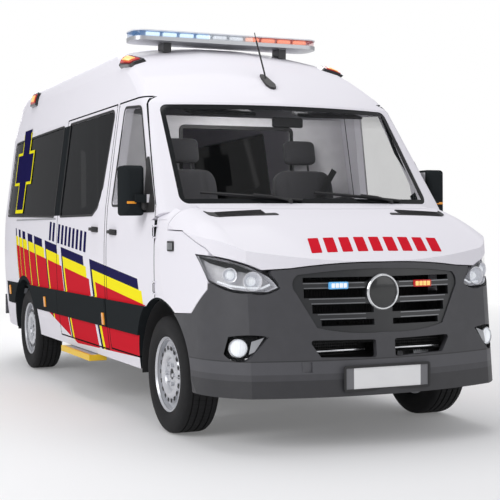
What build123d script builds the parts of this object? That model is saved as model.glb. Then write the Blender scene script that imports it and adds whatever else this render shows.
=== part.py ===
"""High-roof panel-van ambulance: body panels, doors, lamps, running gear and cab fittings.

X points forward, Y to the vehicle's left and Z up. The origin is on the ground, midway between the ends.
"""

import os
from math import cos, hypot, radians, sin

from build123d import *

# Overall sizes
LENGTH = 5932.0
WIDTH = 2020.0
WHEELBASE = 3665.0
FRONT_OVERHANG = 1004.0
TRACK = 1710.0

# Body section, half widths at heights
SILL_Z = 340.0
SILL_HALF = 968.0
WIDEST_Z = 850.0
BELT_Z = 1380.0
BELT_HALF = 998.0
RAIL_Z = 2105.0
RAIL_HALF = 900.0
SHOULDER_Z = 2372.0
SHOULDER_HALF = 832.0
ROOF_BEND_Z = 2512.0
ROOF_BEND_HALF = 762.0
ROOF_EDGE_Z = 2588.0
ROOF_EDGE_HALF = 615.0
ROOF_Z = 2638.0

# How far the roof's corners move across and down for each step of inset
SHOULDER_DOWN = 0.35
BEND_IN = 0.75
EDGE_SIDE = 0.3
EDGE_DOWN = 0.95

# Walls and gaps
WALL = 60.0
HINGE_PIN = 5.0
HINGE_HALF = 25.0
EAR_GAP = 6.0
EAR_TALL = 9.0
NOSE_WALL = 36.0
PANEL_GAP = 7.0
GLASS_IN = 4.0
GLASS_THICK = 6.0
GLASS_GAP = 0.3
SEAT_GAP = 0.3
CAB_GAP = 2.5

# Windscreen and forehead, as a side profile turned about an upright axis
SCREEN_AXIS_X = -460.0
FIREWALL_X = 2040.0
COWL_Z = 1290.0
COWL_X = 2180.0
COWL_TIP_Z = 1336.0
COWL_SOLID = 20.0
SCREEN_TOP_X = 1640.0
SCREEN_TOP_Z = 2056.0
FOREHEAD_X = 1150.0
FOREHEAD_Z = 2346.0
CROWN_X = 100.0
CROWN_Z = 2632.0
SCREEN_LOW_Z = 1388.0
SCREEN_LOW_HALF = 872.0
SCREEN_HIGH_Z = 2040.0
SCREEN_HIGH_HALF = 830.0
SCREEN_CORNER = 50.0
PILLAR_ROUND = 70.0
PILLAR_LOW_Z = 1400.0
PILLAR_MIN_RISE = 0.3

# Rear of the body, drawn in along an arc that starts behind the rear axle
TAPER_X = -2150.0
TAPER_RADIUS = 3400.0
TAPER_TURN_DEG = 16.0

# Nose: plan outline at ground level, leaning back as it rises, under an arched bonnet
NOSE_LEAN = 0.1
NOSE_SIDE_X = 1900.0
NOSE_SIDE_OUT = 8.0
NOSE_LAMP_X = 2520.0
NOSE_LAMP_HALF = 957.0
NOSE_CORNER_X = 2715.0
NOSE_CORNER_HALF = 875.0
NOSE_FACE_X = 2825.0
NOSE_FACE_HALF = 770.0
BONNET_BACK_X = 2178.0
BONNET_HINGE_X = 2095.0
BONNET_HINGE_Z = 1335.0
BONNET_HINGE_Y = 840.0
COWL_GAP = 75.0
COWL_HALF = 905.0
COWL_LOW_Z = 1250.0
BONNET_BACK_Z = 1372.0
BONNET_FRONT_X = 2900.0
BONNET_FRONT_Z = 1040.0
BONNET_RISE = 36.0
BONNET_CROWN_HALF = 800.0
BONNET_CROWN_DROP = 25.0
SHOULDER_MID_HALF = 925.0
SHOULDER_MID_DROP = 58.0
WING_TOP_HALF = 988.0
WING_TOP_DROP = 125.0
WING_SIDE_DROP = 420.0
NOSE_SIDE_BOW = 14.0
BUMPER_LOW_Z = 305.0

# Running gear
TYRE_RADIUS = 356.0
TYRE_WIDTH = 235.0
RIM_RADIUS = 222.0
RIM_WIDTH = 170.0
ARCH_RADIUS = 455.0
REAR_ARCH_RADIUS = 435.0
SPINDLE_RADIUS = 34.0
RUNNING_CLEARANCE = 0.06
WHEEL_FACE_OFFSET = 62.0

# Floor
FLOOR_TOP = 700.0
FLOOR_THICK = 50.0
FLOOR_CLEAR_DEPTH = WALL + 16

# Doors
DOOR_REAR_X = 880.0
DOOR_FRONT_X = 1895.0
DOOR_SLOPE_X = 1400.0
DOOR_CORNER = 40.0
DOOR_DEPTH = 185.0
DOOR_HINGE_X = 1900.0
DOOR_HINGE_Y = 1016.0
DOOR_BARREL = 5.0
DOOR_PIN = 2.5
DOOR_HINGES_Z = (880.0, 1220.0)
DOOR_TOP_Z = 2096.0
DOOR_SILL_Z = 420.0
SLIDE_FRONT_X = 826.0
SLIDE_REAR_X = -500.0
SLIDE_TOP_Z = 2096.0
SLIDE_SILL_Z = 405.0
GLASS_LOW_Z = 1345.0
GLASS_HIGH_Z = 2058.0
GLASS_REAR_X = -2450.0
REAR_DOOR_HALF = 806.0
REAR_DOOR_TOP_HALF = 690.0
REAR_DOOR_LOW_Z = 640.0
REAR_HINGE_X = -2908.0
REAR_HINGE_Y = 816.0
REAR_HINGES_Z = (780.0, 1420.0)
REAR_BARREL = 9.0
REAR_PIN = 5.0
REAR_DOOR_HIGH_Z = 2380.0
REAR_SKIN_X = -2890.0
SEAM_Z = 2107.0
UNDER_HALF = 900.0
CAB_SPLIT_X = 853.0
WING_TOP_Z = 1290.0
LINER_IN = 520.0
REAR_LINER_IN = 680.0
STRIP_PROUD = 14.0
STRIP_LOW_Z = 560.0
STRIP_HIGH_Z = 757.0
STRIP_FRONT_X = 1790.0
STRIP_REAR_X = -2400.0
LAMP_DEPTH_IN = 7.0
GRILLE_IN = 8.0
LAMP_INNER_HALF = 640.0
LAMP_MID_Z = 930.0
PLATE_HALF = 262.0
PLATE_Z = 401.0
PLATE_TALL = 116.0
PLATE_BACK_X = 2952.0
DISC_BACK_X = 2846.0
DISC_Z = 875.0
DISC_RADIUS = 100.0
GRILLE_POST_HALF = 60.0

# Air slots between the grille's slats: lower edge, upper edge, half width
GRILLE_SLOTS = (
    (692.0, 726.0, 376.0),
    (762.0, 812.0, 424.0),
    (848.0, 898.0, 468.0),
    (934.0, 962.0, 470.0),
)

# Wheel, hub and brake
HUB_RADIUS = 60.0
DISC_INNER = 92.0
DISC_MID = 128.0
DISC_OUTER = 160.0
BRAKE_Y = 45.0
BRAKE_THICK = 24.0
BRAKE_RADIUS = 150.0
SLOT_COUNT = 18
SLOT_CIRCLE = 172.0
SLOT_LONG = 32.0
SLOT_WIDE = 13.0
NUT_COUNT = 6
NUT_SIDES = 6
NUT_CIRCLE = 65.0
NUT_RADIUS = 13.0

# Steering axis, struts and axles
KING_Y = 744.0
KING_LEAN_DEG = 9.3
KNUCKLE_HALF = 120.0
KNUCKLE_RADIUS = 36.0
PIN_RADIUS = 15.0
PIN_LENGTH = 60.0
STRUT_RADIUS = 25.0
STRUT_TOP = 440.0
TOWER_Z = 770.0
SPINDLE_END = 918.0
BEAM_HALF = 400.0
LINER_RADIUS = ARCH_RADIUS + 10
LINER_OUT = 910.0
REAR_LINER_RADIUS = REAR_ARCH_RADIUS
LINER_LOW_Z = 480.0
AXLE_TUBE_RADIUS = 45.0
AXLE_TUBE_HALF = 780.0
CASE_RADIUS = 125.0
LEAF_HALF = 620.0
LEAF_Y = 590.0
LEAF_WIDE = 70.0
SHAFT_RADIUS = 38.0

# Frame, engine and under-floor pieces
RAIL_OUT = 520.0
RAIL_IN = 440.0
RAIL_LOW_Z = 550.0
RAIL_FRONT_X = 2700.0
ENGINE_REAR_X = 2080.0
ENGINE_FRONT_X = 2560.0
ENGINE_HALF = 300.0
ENGINE_LOW_Z = 400.0
ENGINE_HIGH_Z = 980.0
GEARBOX_REAR_X = 1250.0
GEARBOX_Z = 490.0
STEP_REAR_X = -290.0
STEP_FRONT_X = 515.0
STEP_OUT = 1035.0
REAR_BUMPER_HALF = 925.0
REAR_BUMPER_LOW_Z = 410.0
REAR_BUMPER_HIGH_Z = 600.0

# Cab and roof fittings
COLUMN_X = 1530.0
COLUMN_Y = 430.0
COLUMN_Z = 1285.0
COLUMN_TILT_DEG = 40.0
COLUMN_STATIONS = (-170.0, -30.0, -22.0, 10.0)
STEERING_RADIUS = 190.0
SEAT_X = 1265.0
SEAT_Y = 460.0
PARTITION_X = 780.0
PLATFORM_REAR_X = -2700.0
PLATFORM_FRONT_X = -760.0
PLATFORM_HALF = 300.0
PLATFORM_TOP_Z = 770.0
DASH_HALF = 800.0
DASH_BRACKET_Y = 560.0
LIGHTBAR_X = 555.0
LIGHTBAR_LOW_Z = 2588.0
LIGHTBAR_HALF = 735.0
LIGHTBAR_DEEP = 260.0
LIGHTBAR_CORNER = 95.0
LIGHTBAR_FOOT_Y = 460.0
MIRROR_X = 1700.0
MIRROR_OUT = 1158.0
MIRROR_DEEP = 130.0
MIRROR_ROUND = 42.0
MIRROR_LOW_Z = 1320.0
MIRROR_HIGH_Z = 1630.0
TAIL_LOW_Z = 900.0
TAIL_HIGH_Z = 1330.0
TOW_Y = 470.0
TOW_Z = 470.0
TOW_RADIUS = 10.0
TOW_DEPTH = 80.0
TOW_FACE_X = 2800.0

# Derived places
FRONT_X = LENGTH / 2
FRONT_AXLE_X = FRONT_X - FRONT_OVERHANG
REAR_AXLE_X = FRONT_AXLE_X - WHEELBASE
HALF = WIDTH / 2
HUB_RADIUS_BORE = SPINDLE_RADIUS + RUNNING_CLEARANCE
AXLE_Z = TYRE_RADIUS
WHEEL_Y = TRACK / 2
FAR = 4000.0


def edge_to(here, step):
    """A straight edge to a point, or an arc where the step is a (middle, end) pair."""
    if isinstance(step[0], tuple):
        return ThreePointArc(here, step[0], step[1]), step[1]
    return Line(here, step), step


def outline(start, *steps):
    """Closed flat face from a start point and its steps."""
    edges, here = [], start
    for step in steps:
        edge, here = edge_to(here, step)
        edges.append(edge)
    if here != start:
        edges.append(Line(here, start))
    return make_face(edges)


def mirrored_outline(start, *steps):
    """Closed face from its right half, given from bottom to top, mirrored about the upright axis."""
    edges, here = [], start
    for step in steps:
        edge, here = edge_to(here, step)
        edges.append(edge)
    edges += [e.mirror(Plane.YZ) for e in edges]
    for x, y in (start, here):
        if x > 0:
            edges.append(Line((-x, y), (x, y)))
    return make_face(edges)


def along_x(face, x0, x1):
    """Face drawn in (Y, Z), drawn out from x0 to x1."""
    return extrude(Plane.YZ.offset(x0) * face, amount=x1 - x0)


def along_y(face, y0, y1):
    """Face drawn in (X, Z), drawn out from y0 to y1."""
    return extrude(Plane.XZ.offset(-y1) * face, amount=y1 - y0)


def along_z(face, z0, z1):
    """Face drawn in (X, Y), drawn out from z0 to z1."""
    return extrude(Plane.XY.offset(z0) * face, amount=z1 - z0)


def block(x0, x1, y0, y1, z0, z1):
    """Box between two corners."""
    return Pos((x0 + x1) / 2, (y0 + y1) / 2, (z0 + z1) / 2) * Box(x1 - x0, y1 - y0, z1 - z0)


def rod(start, end, radius):
    """Round bar between two points."""
    way = Vector(*end) - Vector(*start)
    return Plane(Vector(*start), z_dir=way) * Cylinder(
        radius, way.length, align=(Align.CENTER, Align.CENTER, Align.MIN)
    )


def left_of(shape):
    """The mirror image of a right-hand piece."""
    return mirror(shape, about=Plane.XZ)


def section_face(inset=0.0, low=SILL_Z):
    """Cross-section of the body from sill to roof, its outline moved in by an inset."""
    sill_z = SILL_Z + inset
    start = [(SILL_HALF - inset, sill_z)]
    if low < SILL_Z:
        start = [(SILL_HALF - 4 - inset, low + inset), (SILL_HALF - inset, sill_z)]
    edge_half, edge_z = ROOF_EDGE_HALF - EDGE_SIDE * inset, ROOF_EDGE_Z - EDGE_DOWN * inset
    roof_z = ROOF_Z - inset
    return mirrored_outline(
        *start,
        ((HALF - inset, WIDEST_Z), (BELT_HALF - inset, BELT_Z)),
        (RAIL_HALF - inset, RAIL_Z),
        (SHOULDER_HALF - inset, SHOULDER_Z - SHOULDER_DOWN * inset),
        ((ROOF_BEND_HALF - BEND_IN * inset, ROOF_BEND_Z - BEND_IN * inset), (edge_half, edge_z)),
        ((edge_half / 2, roof_z - (roof_z - edge_z) / 4), (0, roof_z)),
    )


def screen_turn(inset=0.0):
    """Everything behind the windscreen and the forehead, which are turned about an upright axis."""
    back, down = inset * 0.8, inset * 0.6
    reach = -SCREEN_AXIS_X - back
    slope = (SCREEN_TOP_Z - COWL_TIP_Z) / (COWL_X - SCREEN_TOP_X)
    tip = (COWL_X, COWL_TIP_Z)
    if inset > COWL_SOLID:
        tip = (FIREWALL_X, COWL_TIP_Z + slope * (COWL_X - FIREWALL_X))
    profile = outline(
        (0, COWL_Z - down),
        (FIREWALL_X + reach, COWL_Z - down),
        (tip[0] + reach, tip[1] - down),
        (SCREEN_TOP_X + reach, SCREEN_TOP_Z - down),
        ((FOREHEAD_X + reach, FOREHEAD_Z - down), (CROWN_X + reach, CROWN_Z - down)),
        (0, CROWN_Z - down),
    )
    facing_right = Plane((SCREEN_AXIS_X, 0, 0), x_dir=(0, -1, 0), z_dir=(-1, 0, 0))
    return revolve(facing_right * profile, Axis((SCREEN_AXIS_X, 0, 0), (0, 0, 1)), 180)


def rear_turn(face):
    """Rear of the body: each half of the section swings inward about an upright axis on the far side."""
    half = face & Pos(-FAR / 2, 0) * Rectangle(FAR, 2 * FAR)
    centre_y = TAPER_RADIUS - HALF
    right = revolve(Plane.YZ.offset(TAPER_X) * half, Axis((TAPER_X, centre_y, 0), (0, 0, -1)), TAPER_TURN_DEG)
    return right + left_of(right)


def cabin_volume(inset=0.0):
    """Cab and load space as one solid, its outer face moved in by an inset."""
    face = section_face(inset)
    firewall = FIREWALL_X - inset * 0.8
    rear = along_x(face, TAPER_X, SCREEN_AXIS_X)
    tail = rear_turn(face) & block(REAR_SKIN_X + inset, TAPER_X, -FAR, FAR, 0, FAR)
    low = along_x(face, SCREEN_AXIS_X, firewall) & block(-FAR, FAR, -FAR, FAR, 0, COWL_Z - inset * 0.6)
    high = along_x(face, SCREEN_AXIS_X, FRONT_X) & screen_turn(inset)
    return rear + tail + low + high


def rounded_cabin():
    """The cabin with its windscreen pillars and brow rounded into the sides."""
    cabin = cabin_volume()
    pillars = []
    for edge in cabin.edges():
        mid, run = edge.position_at(0.5), edge.tangent_at(0.5)
        upright = abs(run.Z) > PILLAR_MIN_RISE and PILLAR_LOW_Z < mid.Z < SHOULDER_Z
        if upright and abs(mid.Y) > SHOULDER_HALF and mid.X > DOOR_REAR_X:
            pillars.append(edge)
    return fillet(pillars, PILLAR_ROUND)


def nose_plan(inset=0.0):
    """Upright prism on the nose's plan outline, leaning back as it rises."""
    side, lamp = HALF + NOSE_SIDE_OUT - inset, NOSE_LAMP_HALF - inset
    corner_x, corner = NOSE_CORNER_X - inset * 0.8, NOSE_CORNER_HALF - inset * 0.6
    face_x, face_half = NOSE_FACE_X - inset * 0.9, NOSE_FACE_HALF - inset * 0.5
    bow_x, bow = (NOSE_SIDE_X + NOSE_LAMP_X) / 2, (side + lamp) / 2 + NOSE_SIDE_BOW
    plan = outline(
        (NOSE_SIDE_X - 200, -side),
        (NOSE_SIDE_X, -side),
        ((bow_x, -bow), (NOSE_LAMP_X, -lamp)),
        ((corner_x, -corner), (face_x, -face_half)),
        ((FRONT_X - inset, 0), (face_x, face_half)),
        ((corner_x, corner), (NOSE_LAMP_X, lamp)),
        ((bow_x, bow), (NOSE_SIDE_X, side)),
        (NOSE_SIDE_X - 200, side),
    )
    base = Plane.XY.offset(BUMPER_LOW_Z) * plan
    return extrude(base, amount=1200, dir=(-NOSE_LEAN, 0, 1))


def bonnet_volume(inset=0.0):
    """Everything under the bonnet's skin, a crowned section swept along the bonnet's arc."""
    run, fall = BONNET_FRONT_X - BONNET_BACK_X, BONNET_BACK_Z - BONNET_FRONT_Z
    chord = hypot(run, fall)
    radius = ((chord / 2) ** 2 + BONNET_RISE**2) / (2 * BONNET_RISE)
    mid_x, mid_z = (BONNET_BACK_X + BONNET_FRONT_X) / 2, (BONNET_BACK_Z + BONNET_FRONT_Z) / 2
    centre_x = mid_x - (radius - BONNET_RISE) * fall / chord
    centre_z = mid_z - (radius - BONNET_RISE) * run / chord
    top = centre_z + radius - inset
    section = mirrored_outline(
        (HALF + 20 - inset, 0),
        (HALF + 20 - inset, top - WING_SIDE_DROP),
        (WING_TOP_HALF - inset, top - WING_TOP_DROP),
        ((SHOULDER_MID_HALF - inset, top - SHOULDER_MID_DROP), (BONNET_CROWN_HALF, top - BONNET_CROWN_DROP)),
        ((BONNET_CROWN_HALF / 2, top - BONNET_CROWN_DROP / 4), (0, top)),
    )
    upright = Plane.YZ.offset(centre_x) * section
    return revolve(upright, Axis((centre_x, 0, centre_z), (0, 1, 0)), 60)


def nose_volume(inset=0.0):
    """The whole nose ahead of the cab as one solid, its outer face moved in by an inset."""
    sides = along_x(section_face(inset, BUMPER_LOW_Z), NOSE_SIDE_X - 200, FRONT_X + 10)
    return sides & nose_plan(inset) & bonnet_volume(inset)


def wheel_space(x, radius, y0, y1):
    """Round space along Y about an axle."""
    return rod((x, y0, AXLE_Z), (x, y1, AXLE_Z), radius)


def grown(face, amount):
    """Flat outline moved outward, or inward where the amount is negative."""
    return offset(face, amount, kind=Kind.INTERSECTION)


def rounded(face, radius):
    """Flat outline with every corner rounded."""
    return fillet(face.vertices(), radius)


def largest(shape):
    """The biggest solid of a cut, without its loose crumbs."""
    return max(shape.solids(), key=lambda solid: solid.volume)


def right_side(face, depth=400.0):
    """Prism through the right-hand wall from an outline drawn in (X, Z)."""
    return along_y(face, -HALF - 200, -HALF + depth)


def cab_door_face():
    """Cab door outline seen from the right."""
    face = outline(
        (DOOR_REAR_X, DOOR_SILL_Z),
        (DOOR_FRONT_X, DOOR_SILL_Z),
        (DOOR_FRONT_X, BELT_Z),
        (DOOR_SLOPE_X, DOOR_TOP_Z),
        (DOOR_REAR_X, DOOR_TOP_Z),
    )
    return rounded(face, DOOR_CORNER)


def cab_glass_face():
    """Cab door window outline."""
    face = outline(
        (DOOR_REAR_X + 95, BELT_Z + 22),
        (DOOR_FRONT_X - 185, BELT_Z + 8),
        (DOOR_FRONT_X - 205, BELT_Z + 150),
        (DOOR_SLOPE_X - 30, DOOR_TOP_Z - 68),
        (DOOR_REAR_X + 140, DOOR_TOP_Z - 42),
    )
    return rounded(face, DOOR_CORNER)


def slide_door_face():
    """Sliding door outline seen from the right."""
    face = outline(
        (SLIDE_REAR_X, SLIDE_SILL_Z),
        (SLIDE_FRONT_X, SLIDE_SILL_Z),
        (SLIDE_FRONT_X, SLIDE_TOP_Z),
        (SLIDE_REAR_X, SLIDE_TOP_Z),
    )
    return rounded(face, DOOR_CORNER)


def slide_glass_face():
    """Sliding door window, its front edge sloping and its lower front corner wide."""
    return outline(
        (SLIDE_REAR_X + 90, GLASS_LOW_Z),
        (SLIDE_FRONT_X - 330, GLASS_LOW_Z),
        ((SLIDE_FRONT_X - 205, GLASS_LOW_Z + 50), (SLIDE_FRONT_X - 130, GLASS_LOW_Z + 190)),
        (SLIDE_FRONT_X - 50, GLASS_HIGH_Z - 40),
        ((SLIDE_FRONT_X - 60, GLASS_HIGH_Z - 10), (SLIDE_FRONT_X - 95, GLASS_HIGH_Z)),
        (SLIDE_REAR_X + 90, GLASS_HIGH_Z),
    )


def side_glass_face():
    """Fixed window behind the sliding door."""
    face = outline(
        (GLASS_REAR_X, GLASS_LOW_Z + 25),
        (SLIDE_REAR_X - 110, GLASS_LOW_Z),
        (SLIDE_REAR_X - 110, GLASS_HIGH_Z),
        (GLASS_REAR_X, GLASS_HIGH_Z - 20),
    )
    return rounded(face, DOOR_CORNER)


def rear_door_face():
    """Right-hand rear door outline in (Y, Z)."""
    face = outline(
        (-REAR_DOOR_HALF, REAR_DOOR_LOW_Z),
        (-PANEL_GAP / 2, REAR_DOOR_LOW_Z),
        (-PANEL_GAP / 2, REAR_DOOR_HIGH_Z),
        (-REAR_DOOR_TOP_HALF, REAR_DOOR_HIGH_Z),
        (-REAR_DOOR_HALF, BELT_Z),
    )
    return rounded(face, 20)


def rear_glass_face():
    """Right-hand rear door window in (Y, Z)."""
    face = outline((-680, 1450), (-110, 1450), (-110, 2030), (-630, 2030))
    return rounded(face, DOOR_CORNER)


def screen_face():
    """Windscreen outline in (Y, Z)."""
    face = mirrored_outline((SCREEN_LOW_HALF, SCREEN_LOW_Z), (SCREEN_HIGH_HALF, SCREEN_HIGH_Z))
    return rounded(face, SCREEN_CORNER)


def headlamp_face():
    """Right-hand headlamp outline in (Y, Z), seen from the front."""
    return outline(
        (-955, 1094),
        ((-815, 1056), (-690, 1003)),
        ((-622, 957), (-596, 905)),
        ((-665, 874), (-760, 880)),
        ((-870, 900), (-924, 948)),
    )


def bonnet_face():
    """Bonnet outline in (Y, Z): its lower edge runs over the headlamps and the grille."""
    return mirrored_outline(
        (0, 1046),
        ((280, 1040), (540, 1016)),
        (690, 1008),
        ((815, 1060), (955, 1098)),
        (1100, 1140),
        (1100, 1500),
    )


def bonnet_side_face():
    """Bonnet outline in (X, Z): its rear lower edge runs along the wing."""
    return outline((2300, 1228), (2540, 1130), (2700, 1000), (3000, 900), (3000, 1500), (2100, 1500), (2100, 1234))


def bumper_face():
    """Everything the bumper may fill, in (X, Z)."""
    return outline((2200, 0), (3100, 0), (3100, 1300), (2566, 1300), (2566, 895), (2415, 752), (2200, 742))


def grille_face():
    """Grille outline in (Y, Z)."""
    return mirrored_outline(
        (0, 652),
        ((230, 655), (405, 685)),
        (515, 880),
        ((530, 935), (500, 978)),
        ((260, 1000), (0, 1008)),
    )


def intake_face():
    """Right half of the lower intake in (Y, Z)."""
    return rounded(outline((-390, 521), (-60, 512), (-60, 612), (-455, 618)), 15)


def fog_face():
    """Right-hand fog lamp recess in (Y, Z)."""
    return outline((-880, 545), ((-830, 505), (-770, 520)), (-669, 640), ((-760, 652), (-860, 640)))


PARTS = {}


def add(name, shape):
    """Keep a finished node under its name."""
    PARTS[name] = shape


def glass_for(face_prism, volumes):
    """Pane of glass that follows the body's surface inside an outline."""
    outer_face, inner_face = volumes
    return (outer_face & face_prism) - inner_face


def body_shell():
    """Cut the cabin's walls into sides, roof, cab frame, doors and glass."""
    outer, inner = rounded_cabin(), cabin_volume(WALL)
    walls = outer - inner
    pane = cabin_volume(GLASS_IN), cabin_volume(GLASS_IN + GLASS_THICK)
    proud = cabin_volume(-STRIP_PROUD)

    cab_right = right_side(cab_door_face(), DOOR_DEPTH)
    cab_hole = right_side(grown(cab_door_face(), PANEL_GAP), DOOR_DEPTH + PANEL_GAP)
    slide_right = right_side(slide_door_face())
    slide_hole = right_side(grown(slide_door_face(), PANEL_GAP))
    rear_right = along_x(rear_door_face(), REAR_SKIN_X - 50, REAR_SKIN_X + WALL + 5)
    rear_hole = along_x(grown(rear_door_face(), PANEL_GAP), REAR_SKIN_X - 50, REAR_SKIN_X + WALL + 5)
    cab_glass = right_side(cab_glass_face())
    slide_glass = right_side(slide_glass_face())
    side_glass = right_side(side_glass_face())
    rear_glass = along_x(rear_glass_face(), REAR_SKIN_X - 50, REAR_SKIN_X + WALL + 5)
    screen = along_x(screen_face(), SCREEN_TOP_X - 700, FRONT_X)
    arch = wheel_space(FRONT_AXLE_X, ARCH_RADIUS + 10, -FAR, -LINER_IN)
    rear_arch = wheel_space(REAR_AXLE_X, REAR_ARCH_RADIUS, -FAR, -REAR_LINER_IN)

    # Rub strips stand proud of the panels they sit on
    right_half = block(-FAR, FAR, -FAR, 0, 0, FAR)
    strip = (proud - cabin_volume()) & block(STRIP_REAR_X, STRIP_FRONT_X, -FAR, 0, STRIP_LOW_Z, STRIP_HIGH_Z)
    strip = strip - arch - rear_arch

    # Doors on the right, mirrored to the left
    mirror_arm = block(MIRROR_X + 20, MIRROR_X + 90, -HALF - 80, -HALF + 30, BELT_Z + 20, BELT_Z + 70)
    mirror_back = MIRROR_X - MIRROR_DEEP / 2
    housing = block(mirror_back, mirror_back + MIRROR_DEEP, -MIRROR_OUT, -HALF - 8, MIRROR_LOW_Z, MIRROR_HIGH_Z)
    upright_edges = housing.edges().filter_by(Axis.X, reverse=True).sort_by(Axis.X)[-4:]
    housing = fillet(upright_edges, MIRROR_ROUND)
    housing = fillet(housing.edges().filter_by(Axis.X), MIRROR_ROUND / 2)
    mirror_right = (mirror_arm + housing) - cabin_volume(WALL / 2)
    cab_door = (walls & cab_right) - cab_glass - arch
    cab_door = cab_door + (strip & cab_right) + mirror_right
    for z in DOOR_HINGES_Z:
        barrel, bore, _ = upright_hinge(DOOR_HINGE_X, -DOOR_HINGE_Y, z, DOOR_BARREL, DOOR_PIN)
        low, high = z - HINGE_HALF, z + HINGE_HALF
        leaf = block(DOOR_FRONT_X - 25, DOOR_FRONT_X - 2, -DOOR_HINGE_Y - DOOR_BARREL, -HALF + 20, low, high)
        leaf = leaf + block(DOOR_FRONT_X - 5, DOOR_HINGE_X, -DOOR_HINGE_Y - DOOR_BARREL, -HALF - 2, low, high)
        cab_door = cab_door + barrel + leaf - bore
    add("cab_door_right", cab_door)
    add("cab_door_left", left_of(cab_door))
    cab_pane = glass_for(right_side(grown(cab_glass_face(), -GLASS_GAP)), pane)
    add("cab_glass_right", cab_pane)
    add("cab_glass_left", left_of(cab_pane))
    slide_door = (walls & slide_right) - slide_glass
    add("sliding_door", slide_door + (strip & slide_right))
    rear_door = (walls & rear_right) - rear_glass
    rear_ears = []
    for z in REAR_HINGES_Z:
        barrel, bore, ears = upright_hinge(REAR_HINGE_X, -REAR_HINGE_Y, z, REAR_BARREL, REAR_PIN)
        low, high = z - HINGE_HALF, z + HINGE_HALF
        leaf = block(REAR_HINGE_X - 5, REAR_HINGE_X + 8, -REAR_HINGE_Y, -REAR_HINGE_Y + 45, low, high)
        leaf = leaf + block(REAR_HINGE_X, REAR_SKIN_X + 5, -REAR_HINGE_Y + 18, -REAR_HINGE_Y + 45, low, high)
        rear_door = rear_door + barrel + leaf - bore
        for low, high in ear_spans(z):
            ears = ears + block(REAR_HINGE_X - 5, REAR_HINGE_X + 8, -REAR_HINGE_Y - 35, -REAR_HINGE_Y, low, high)
            ears = ears + block(REAR_HINGE_X, REAR_SKIN_X + 5, -REAR_HINGE_Y - 35, -REAR_HINGE_Y - 4, low, high)
        rear_ears.append(ears)
    add("rear_door_right", rear_door)
    add("rear_door_left", left_of(rear_door))
    rear_pane = glass_for(along_x(grown(rear_glass_face(), -GLASS_GAP), REAR_SKIN_X - 50, REAR_SKIN_X + 200), pane)
    add("rear_glass_right", rear_pane)
    add("rear_glass_left", left_of(rear_pane))

    # Fixed body
    lower = block(-FAR, FAR, -FAR, FAR, 0, SEAM_Z)
    roof = walls - lower - rear_hole - left_of(rear_hole)
    add("roof_panel", roof)
    under = block(-FAR, FAR, -UNDER_HALF, UNDER_HALF, 0, FLOOR_TOP - FLOOR_THICK)
    rear_low = block(REAR_SKIN_X - 50, REAR_SKIN_X + WALL + 5, -UNDER_HALF, UNDER_HALF, 0, REAR_DOOR_LOW_Z + 60)
    fixed = (walls & lower) - under - rear_low - rear_hole - left_of(rear_hole)
    fixed = fixed - cab_hole - left_of(cab_hole) - slide_hole
    fixed = fixed - arch - left_of(arch) - rear_arch - left_of(rear_arch)
    behind = block(-FAR, CAB_SPLIT_X, -FAR, FAR, 0, FAR)
    sides = fixed & behind
    body_right = (sides & right_half) - side_glass + (strip & behind - slide_hole)
    body_left = (sides - right_half) - left_of(side_glass) + left_of(strip & behind)
    for ears in rear_ears:
        body_right = body_right + ears
        body_left = body_left + left_of(ears)
    add("body_side_right", body_right)
    add("body_side_left", body_left)
    side_panes = glass_for(right_side(grown(side_glass_face(), -GLASS_GAP)), pane)
    slide_pane = glass_for(right_side(grown(slide_glass_face(), -GLASS_GAP)), pane)
    add("side_glass", Compound([*side_panes.solids(), *slide_pane.solids(), *left_of(side_panes).solids()]))
    wing_room = block(DOOR_FRONT_X, FAR, -FAR, FAR, 0, WING_TOP_Z + 2) - nose_volume(NOSE_WALL + SEAT_GAP)
    frame = fixed - behind - screen - wing_room
    add("cab_frame", frame)
    add("windscreen", glass_for(along_x(grown(screen_face(), -GLASS_GAP), SCREEN_TOP_X - 700, FRONT_X), pane))

    # Floor between the walls, opened for the wheels
    floor = inner & block(-FAR, FIREWALL_X, -FAR, FAR, FLOOR_TOP - FLOOR_THICK, FLOOR_TOP)
    for shape in (arch, rear_arch, right_side(grown(cab_door_face(), PANEL_GAP), FLOOR_CLEAR_DEPTH)):
        floor = floor - shape - left_of(shape)
    add("floor_pan", floor & block(REAR_SKIN_X + WALL + PANEL_GAP, FAR, -FAR, FAR, 0, FAR))


def bonnet_hinge():
    """Right-hand bonnet hinge: the barrel on the bonnet, its bore, and the ears with their pin on the cowl."""
    x, y, z = BONNET_HINGE_X, -BONNET_HINGE_Y, BONNET_HINGE_Z
    barrel = rod((x, y - 18, z), (x, y + 18, z), 9) + block(x, x + 60, y - 18, y + 18, z - 9, z + 2)
    bore = rod((x, y - 19, z), (x, y + 19, z), HINGE_PIN + RUNNING_CLEARANCE)
    ears = rod((x, y - 36, z), (x, y + 36, z), HINGE_PIN)
    for low in (y - 36, y + 24):
        ears = ears + rod((x, low, z), (x, low + 12, z), 9)
        ears = ears + block(x - 110, x, low, low + 12, z - 9, z + 2)
    return barrel, bore, ears


def upright_hinge(x, y, z, radius, pin):
    """One hinge on an upright axis: the barrel, its bore, and the ears with their pin."""
    low, high = z - HINGE_HALF, z + HINGE_HALF
    barrel = rod((x, y, low), (x, y, high), radius)
    bore = rod((x, y, low - 1), (x, y, high + 1), pin + RUNNING_CLEARANCE)
    ears = rod((x, y, low - EAR_GAP - EAR_TALL), (x, y, high + EAR_GAP + EAR_TALL), pin)
    for foot in (low - EAR_GAP - EAR_TALL, high + EAR_GAP):
        ears = ears + rod((x, y, foot), (x, y, foot + EAR_TALL), radius)
    return barrel, bore, ears


def ear_spans(z):
    """Heights of a hinge's two ears."""
    far, near = HINGE_HALF + EAR_GAP + EAR_TALL, HINGE_HALF + EAR_GAP
    return (z - far, z - near), (z + near, z + far)


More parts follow.
